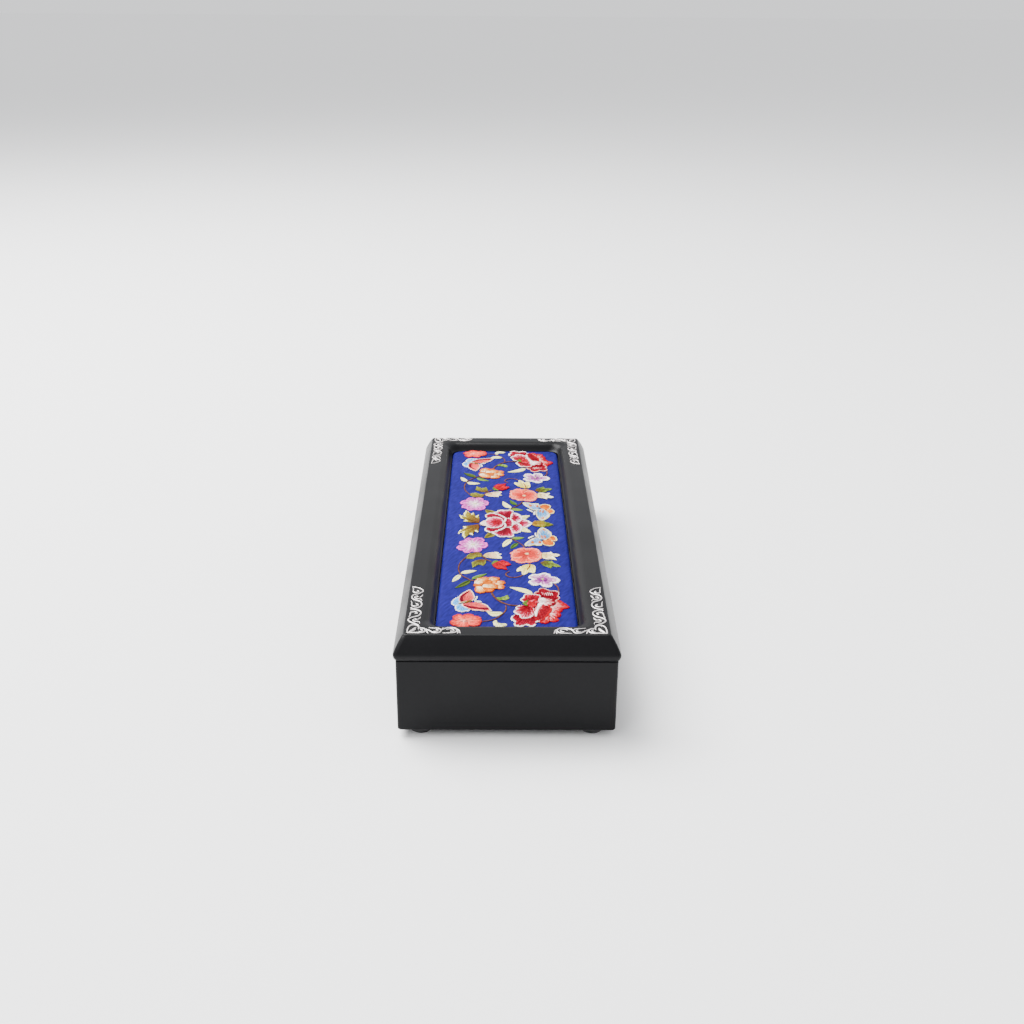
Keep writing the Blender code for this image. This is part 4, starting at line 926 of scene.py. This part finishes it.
# Embroidery: the butterflies. Light blue, peach and crimson wings with a cream outline, orange
# spots, and a body and feelers of stem stitch.
orange_lobe, orange_mark = ["#f4b060", "#dc8410", "#d87c08", cream], ["#e09858", "#d07c1c"]
blue_wing, peach_wing = ["#e0f0f8", "#50b0ec", "#80c8f4", white], ["#dc6468", "#e87070", "#f49084", "#fcf4e8"]
wine_band, brown_mark = ["#840c3c", "#941448"], ["#b86850", "#dca080"]
wing_parts = (
    # the upper butterfly: two orange lobes, a fore wing and a hind wing with their markings
    ((13, 21, 14, 22.4, 16, 23, 18.2, 22.7, 19.4, 21.4, 18.5, 19.6, 16.2, 18.8, 13.6, 19.4), (17.6, 17.4),
      orange_lobe, 0.6, 0.35),
    ((18.4, 20, 20.4, 21, 22, 21.5, 24, 21, 25.1, 19.2, 24.3, 17, 21.5, 15.8, 18.4, 16.8), (17.6, 17),
      orange_lobe, 0.8, 0.35),
    ((4, 16.8, 6.2, 18.6, 9.6, 20.4, 13.1, 20.5, 15.8, 19.4, 18.8, 17.5, 18.4, 15.4, 15.4, 14.1, 11.5, 14.1,
      7.7, 14.7, 5.2, 15.6), (18.8, 16.4), ["#f4d4c8", "#90bce0", "#54a6d8", "#84bce0", "#ece0dc", cream], 1,
      0.6),
    ((17, 15.2, 19, 15.4, 21.5, 16.1, 24.9, 15.6, 25.3, 13.7, 24.9, 12.4, 26.1, 10.2, 26, 8.2, 23.8, 8.4,
      20.8, 9.9, 18, 11.6, 16.6, 13.3), (17.4, 15.2), ["#a8c0e0", "#84b0dc", "#a8c4e0", "#e8dce4", cream],
      1.2, 0.6),
    ((5.6, 16.9, 7.4, 18, 8.2, 17.2, 7, 16.4), (9, 16.9), ["#f0c090", "#d88428"], 2.2),
    ((13.6, 17.6, 16.6, 18, 16.4, 17.3, 13.6, 16.9), (18, 17.6), brown_mark, 2.2),
    ((13.8, 16.2, 17, 16.7, 16.8, 16.1, 14, 15.6), (18, 16.4), brown_mark, 2.2),
    ((20, 15, 22, 15.6, 23.4, 15, 21.8, 14.3), (18.6, 15), orange_mark, 2.4),
    ((20.4, 12, 22.6, 12.3, 24, 11.4, 22.4, 10.9), (18, 13), orange_mark, 2.4),
    ((18.2, 16.6, 19.6, 16.7, 20, 15.6, 18.6, 15.2), (17, 16), ["#1c6c94", "#2c7ca0"], 2.6),
    # the lower butterfly: two peach wings with crimson bands, two small blue wings
    ((77, -18.6, 80.8, -18, 84.4, -18.6, 84.9, -21, 82.7, -22.3, 80.3, -21.9, 78, -20.7), (83.6, -17),
      blue_wing, 0.8, 0.45),
    ((84, -16.4, 87, -16, 89.6, -14.6, 90.1, -16, 90.7, -18, 89.2, -20, 86.2, -20.7, 84, -19.6), (83.6, -17),
      blue_wing, 0.9, 0.45),
    ((83, -13.7, 82.7, -11.3, 83.8, -9.4, 85.4, -7.7, 87.6, -6.8, 89.8, -6, 90.6, -7.4, 89.8, -11.3, 89.1,
      -14, 86.4, -17.2, 83.8, -17.6), (83.2, -17.2), peach_wing, 1.3, 0.4),
    ((70.7, -15, 73.2, -13.8, 77.5, -12.8, 81, -13.6, 83, -15.7, 82, -18.8, 78.2, -19.5, 74.6, -18.4, 72.2,
      -16.6), (83.4, -16.8), peach_wing, 1.1, 0.4),
    ((87.6, -7.6, 89.5, -7, 88.8, -11.3, 88.2, -14, 86, -16.8, 84.6, -17, 86.5, -14, 87.4, -10.7), (83.4,
      -17.6), wine_band, 2.4),
    ((72, -15, 74.2, -16, 77.5, -17.6, 81.6, -17.5, 81.4, -18.6, 77.5, -18.8, 74.6, -17.5), (83.4, -17.4),
      wine_band, 2.3),
    ((80.8, -14.2, 82, -14.2, 83.2, -16.2, 84, -19, 83, -19.2, 82, -16.8), (81, -12), ["#a07820", "#7c6c20",
      "#ece4d0"], 3),
)
feelers = (
    ((15.2, 13.7, 12.6, 13.2, 10.2, 13.6), 0.6),
    ((14.4, 12.7, 15.8, 11.4, 17.4, 10), 0.8),
    ((81, -13, 78.8, -12, 76.2, -12.1), 0.5),
    ((81.6, -12.9, 81.6, -11.2, 82.6, -9.6), 0.5),
)
butterflies = []
for side in (1, -1):
    for part in wing_parts:
        fan(butterflies, *part)
    for points, width in feelers:
        stem(butterflies, points, width, ["#e8e8e0", "#fbf7ee"], 1)
sew("embroidered_butterflies", butterflies)


# Corner ornaments. Four thin cast corners of silver-plated scrollwork, laid flat on the rail. The
# plate is satin, with paler and greyer patches where it is rubbed and where it is dull.
silver, tree, shader, place = new_material("satin_silver_plate", "#efe9e8", {
    "Metallic": 0.85, "Roughness": 0.42})
wear = add_node(tree, "TexNoise", {"Scale": 1 / (1.6 * mm), "Detail": 4.0}, Vector=place)
grit = add_node(tree, "TexNoise", {"Scale": 1 / (0.2 * mm), "Detail": 2.0}, Vector=place)
shade = add_node(tree, "Mix", {"data_type": "RGBA", 6: linear("#cfc8c6"), 7: linear("#fbf7f6")},
                 Factor=wear)
rise = add_node(tree, "Bump", {"Strength": 0.25, "Distance": 0.02 * mm}, Height=grit)
feed(tree, shader, Base_Color=shade.outputs[2], Normal=rise)

# Each scroll is a half-round ribbon: its widths at the start, middle and end, and its points, in
# mm from the ornament's outer corner along the long and the short arm.
scrolls = (
    ((0.5, 1.05, 0.9), (41.1, 0.2, 39.9, 2.9, 37.2, 4.7, 34.7, 3.2, 33.6, 1.2, 31.6, 0.5, 29.4, 1.2, 28.2,
     2.9, 27.1, 4.2, 24.7, 4.8, 22.4, 4.1, 21.2, 2.4, 20.8, 1.1)),
    ((0.35, 1.0, 1.15), (41, 0.3, 38.4, 0.7, 36.2, 0.8, 35.5, 2.1, 36.4, 2.9, 37.3, 2.4)),
    ((0.3, 0.9, 1.0), (28.1, 4.7, 29.7, 4.1, 29.9, 2.5, 31.2, 1.6, 32.1, 2.4, 31.4, 3)),
    ((0.3, 0.9, 0.5), (33.7, 4.7, 32.2, 4.3, 31, 3.6)),
    ((0.35, 1.0, 1.15), (28.1, 0.4, 25.9, 0.8, 23.7, 1, 23.1, 2.3, 24.2, 3.4, 25.3, 2.6)),
    ((0.9, 1.0, 0.9), (21.7, 0.7, 20.9, 1.3, 19.7, 0.7)),
    ((0.9, 1.05, 0.9), (20.6, 1, 20.1, 2.7, 18.6, 4.6, 16.4, 4.8, 14.5, 3.6, 13.4, 1.6, 12.1, 0.5, 10.6, 0.5,
     9.1, 1.6, 7.9, 3.2, 6.6, 4.5, 4.7, 4.8, 3.2, 4.7)),
    ((0.35, 1.0, 1.15), (13.5, 0.4, 15.7, 0.8, 17.7, 1, 18.3, 2.4, 17.3, 3.3, 16.4, 2.6)),
    ((0.3, 0.9, 1.0), (8.1, 4.9, 9.7, 4.6, 10, 2.9, 11.1, 2.2, 11.9, 3, 11.2, 3.6)),
    ((0.3, 0.9, 0.5), (13.9, 4.9, 12.6, 4.6, 11.6, 3.8)),
    ((0.8, 1.0, 0.9), (4.7, 4.8, 6.5, 4.2, 7.1, 2.9, 6.4, 1.4, 4.4, 0.7, 2.1, 0.6, 0.6, 0.6)),
    ((0.6, 2.0, 1.2), (4.8, 3.5, 2.9, 2.9, 1, 1.5)),
    ((1.0, 1.1, 0.8), (0.6, 0.6, 0.6, 3.6, 0.6, 5.2, 1.2, 6.8, 2.7, 7.4, 4.1, 6.6, 4.5, 5.2)),
    ((0.5, 0.8, 0.9), (1.5, 4.9, 1.6, 5.8, 2.6, 6.3, 3.3, 5.6)),
    ((0.8, 1.0, 0.35), (3.5, 7.2, 2.5, 8.8, 1, 10.2, 0.6, 11.7, 1.2, 12.9, 2.9, 13.2, 4.2, 12.2, 4.4, 10.5,
     4.8, 8.5)),
    ((0.3, 0.9, 0.5), (0.2, 8.5, 1.7, 8, 2.9, 7.5)),
    ((0.5, 0.85, 1.0), (1.8, 10.4, 1.6, 11.5, 2.6, 12.1, 3.3, 11.5)),
    ((0.8, 1.05, 0.4), (2.5, 13.1, 3.8, 14.3, 4.7, 15.8, 4.7, 17.6, 3.9, 19, 2.1, 19.3, 0.9, 18.3, 0.6, 16.1,
     0.5, 13.9)),
    ((0.3, 0.9, 0.5), (5.0, 14, 3.7, 13.8, 2.3, 13.3)),
    ((0.5, 0.9, 1.1), (3.2, 15.3, 3.9, 16.8, 3.2, 18, 1.9, 17.8, 1.7, 16.8)),
    ((0.7, 0.9, 0.3), (3.8, 19.1, 2.7, 20, 0.3, 20.6)),
    ((0.6, 0.8, 0.3), (2.7, 19.3, 1.3, 19.7, 0.1, 19.5)),
)

low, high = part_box("ornament_front_right")
relief = high.z - low.z
radius_share = 0.26        # a ribbon's radius for each 1 of its width in the table
curve = bpy.data.curves.new("scrollwork", "CURVE")
curve.dimensions = "3D"
curve.bevel_depth = 1
curve.bevel_resolution = 2
curve.use_fill_caps = True
for widths, points in scrolls:
    line = smooth_line([Vector(pair) for pair in zip(points[::2], points[1::2])], 6)
    ribbon = curve.splines.new("POLY")
    ribbon.points.add(len(line) - 1)
    for number, (point, mark) in enumerate(zip(ribbon.points, line)):
        share = number / (len(line) - 1)
        if share < 0.5:
            first, second = widths[0], widths[1]
            blend = sin(2 * share * pi / 2)
        else:
            first, second = widths[1], widths[2]
            blend = 1 - cos((2 * share - 1) * pi / 2)
        point.co = (high.x - mark.x * mm, low.y + mark.y * mm, low.z, 1)
        point.radius = (first + (second - first) * blend) * radius_share * mm
holder = place_object("scrollwork", curve)
cast = shaped_mesh(holder)
bpy.data.objects.remove(holder)
for end, mirror_x in (("right", 1), ("left", -1)):
    for face, mirror_y in (("front", 1), ("back", -1)):
        bm = bmesh.new()
        bm.from_mesh(cast)
        bmesh.ops.remove_doubles(bm, verts=bm.verts, dist=weld)
        for vert in bm.verts:
            vert.co.z = low.z + min(vert.co.z - low.z, relief)
        bmesh.ops.bisect_plane(
            bm, geom=bm.verts[:] + bm.edges[:] + bm.faces[:], dist=0.0001 * mm,
            plane_co=(0, 0, low.z), plane_no=(0, 0, 1), clear_inner=True)
        bmesh.ops.holes_fill(bm, edges=[edge for edge in bm.edges if edge.is_boundary], sides=0)
        bmesh.ops.scale(bm, vec=(mirror_x, mirror_y, 1), verts=bm.verts)
        node = f"ornament_{face}_{end}"
        scroll = finish_mesh(bm, f"silver_scrolls_{face}_{end}", silver, radians(50))
        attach(scroll, "lid")
        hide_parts(node)


# Floor pad and lid card. A wadded card in navy velvet on the box's floor, and a flat one in the
# lid, both cut to size, wrapped and pressed in.
low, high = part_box("floor_pad")
pad_crown, pad_shoulder, pad_corner, pad_cell = 0.6 * mm, 0.9 * mm, 2.5 * mm, 2.5 * mm
bm = padded_mesh(high.x, high.y, pad_corner, low.z, high.z - pad_crown, pad_crown, pad_shoulder, pad_cell)
floor_pad = finish_mesh(bm, "velvet_floor_pad", velvet, soft_crease)
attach(floor_pad, "case")
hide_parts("floor_pad")

low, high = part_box("lid_lining")
card_corner, card_edge, card_cell = 1.2 * mm, 0.25 * mm, 6 * mm
bm = padded_mesh(high.x, high.y, card_corner, low.z, high.z, 0, card_edge, card_cell)
lid_card = finish_mesh(bm, "velvet_lid_lining", velvet, soft_crease)
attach(lid_card, "lid")
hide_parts("lid_lining")


# Hidden cards. The lid board and the panel's stiffener are grey bookbinder's board, cut to size and
# glued in.
board, tree, shader, place = new_material("grey_binders_board", "#8b8578", {"Roughness": 0.9})
pulp = add_node(tree, "TexNoise", {"Scale": 1 / (0.8 * mm), "Detail": 5.0}, Vector=place)
shade = add_node(tree, "Mix", {"data_type": "RGBA", 6: linear("#7c766a"), 7: linear("#99938a")},
                 Factor=pulp)
feed(tree, shader, Base_Color=shade.outputs[2])
for node in ("lid_board", "panel_board"):
    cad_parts[node].material_slots[0].material = board


# Hinges. Two narrow butt hinges of rolled brass with countersunk brass screws, let into the back
# edges of box and lid.
brass, tree, shader, place = new_material("rolled_brass", "#b98f45", {"Metallic": 1.0})
drawn = add_node(tree, "Mapping", {"Scale": (0.05, 1, 1)}, Vector=place)
line = add_node(tree, "TexNoise", {"Scale": 1 / (0.15 * mm), "Detail": 4.0}, Vector=drawn)
gloss = add_node(tree, "MapRange", {"To Min": 0.22, "To Max": 0.42}, Value=line)
tarnish = add_node(tree, "TexNoise", {"Scale": 1 / (3 * mm), "Detail": 3.0}, Vector=place)
shade = add_node(tree, "Mix", {"data_type": "RGBA", 6: linear("#a07a38"), 7: linear("#cfa75a")},
                 Factor=tarnish)
feed(tree, shader, Base_Color=shade.outputs[2], Roughness=gloss)
for node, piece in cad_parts.items():
    if node.startswith("hinge_"):
        piece.material_slots[0].material = brass
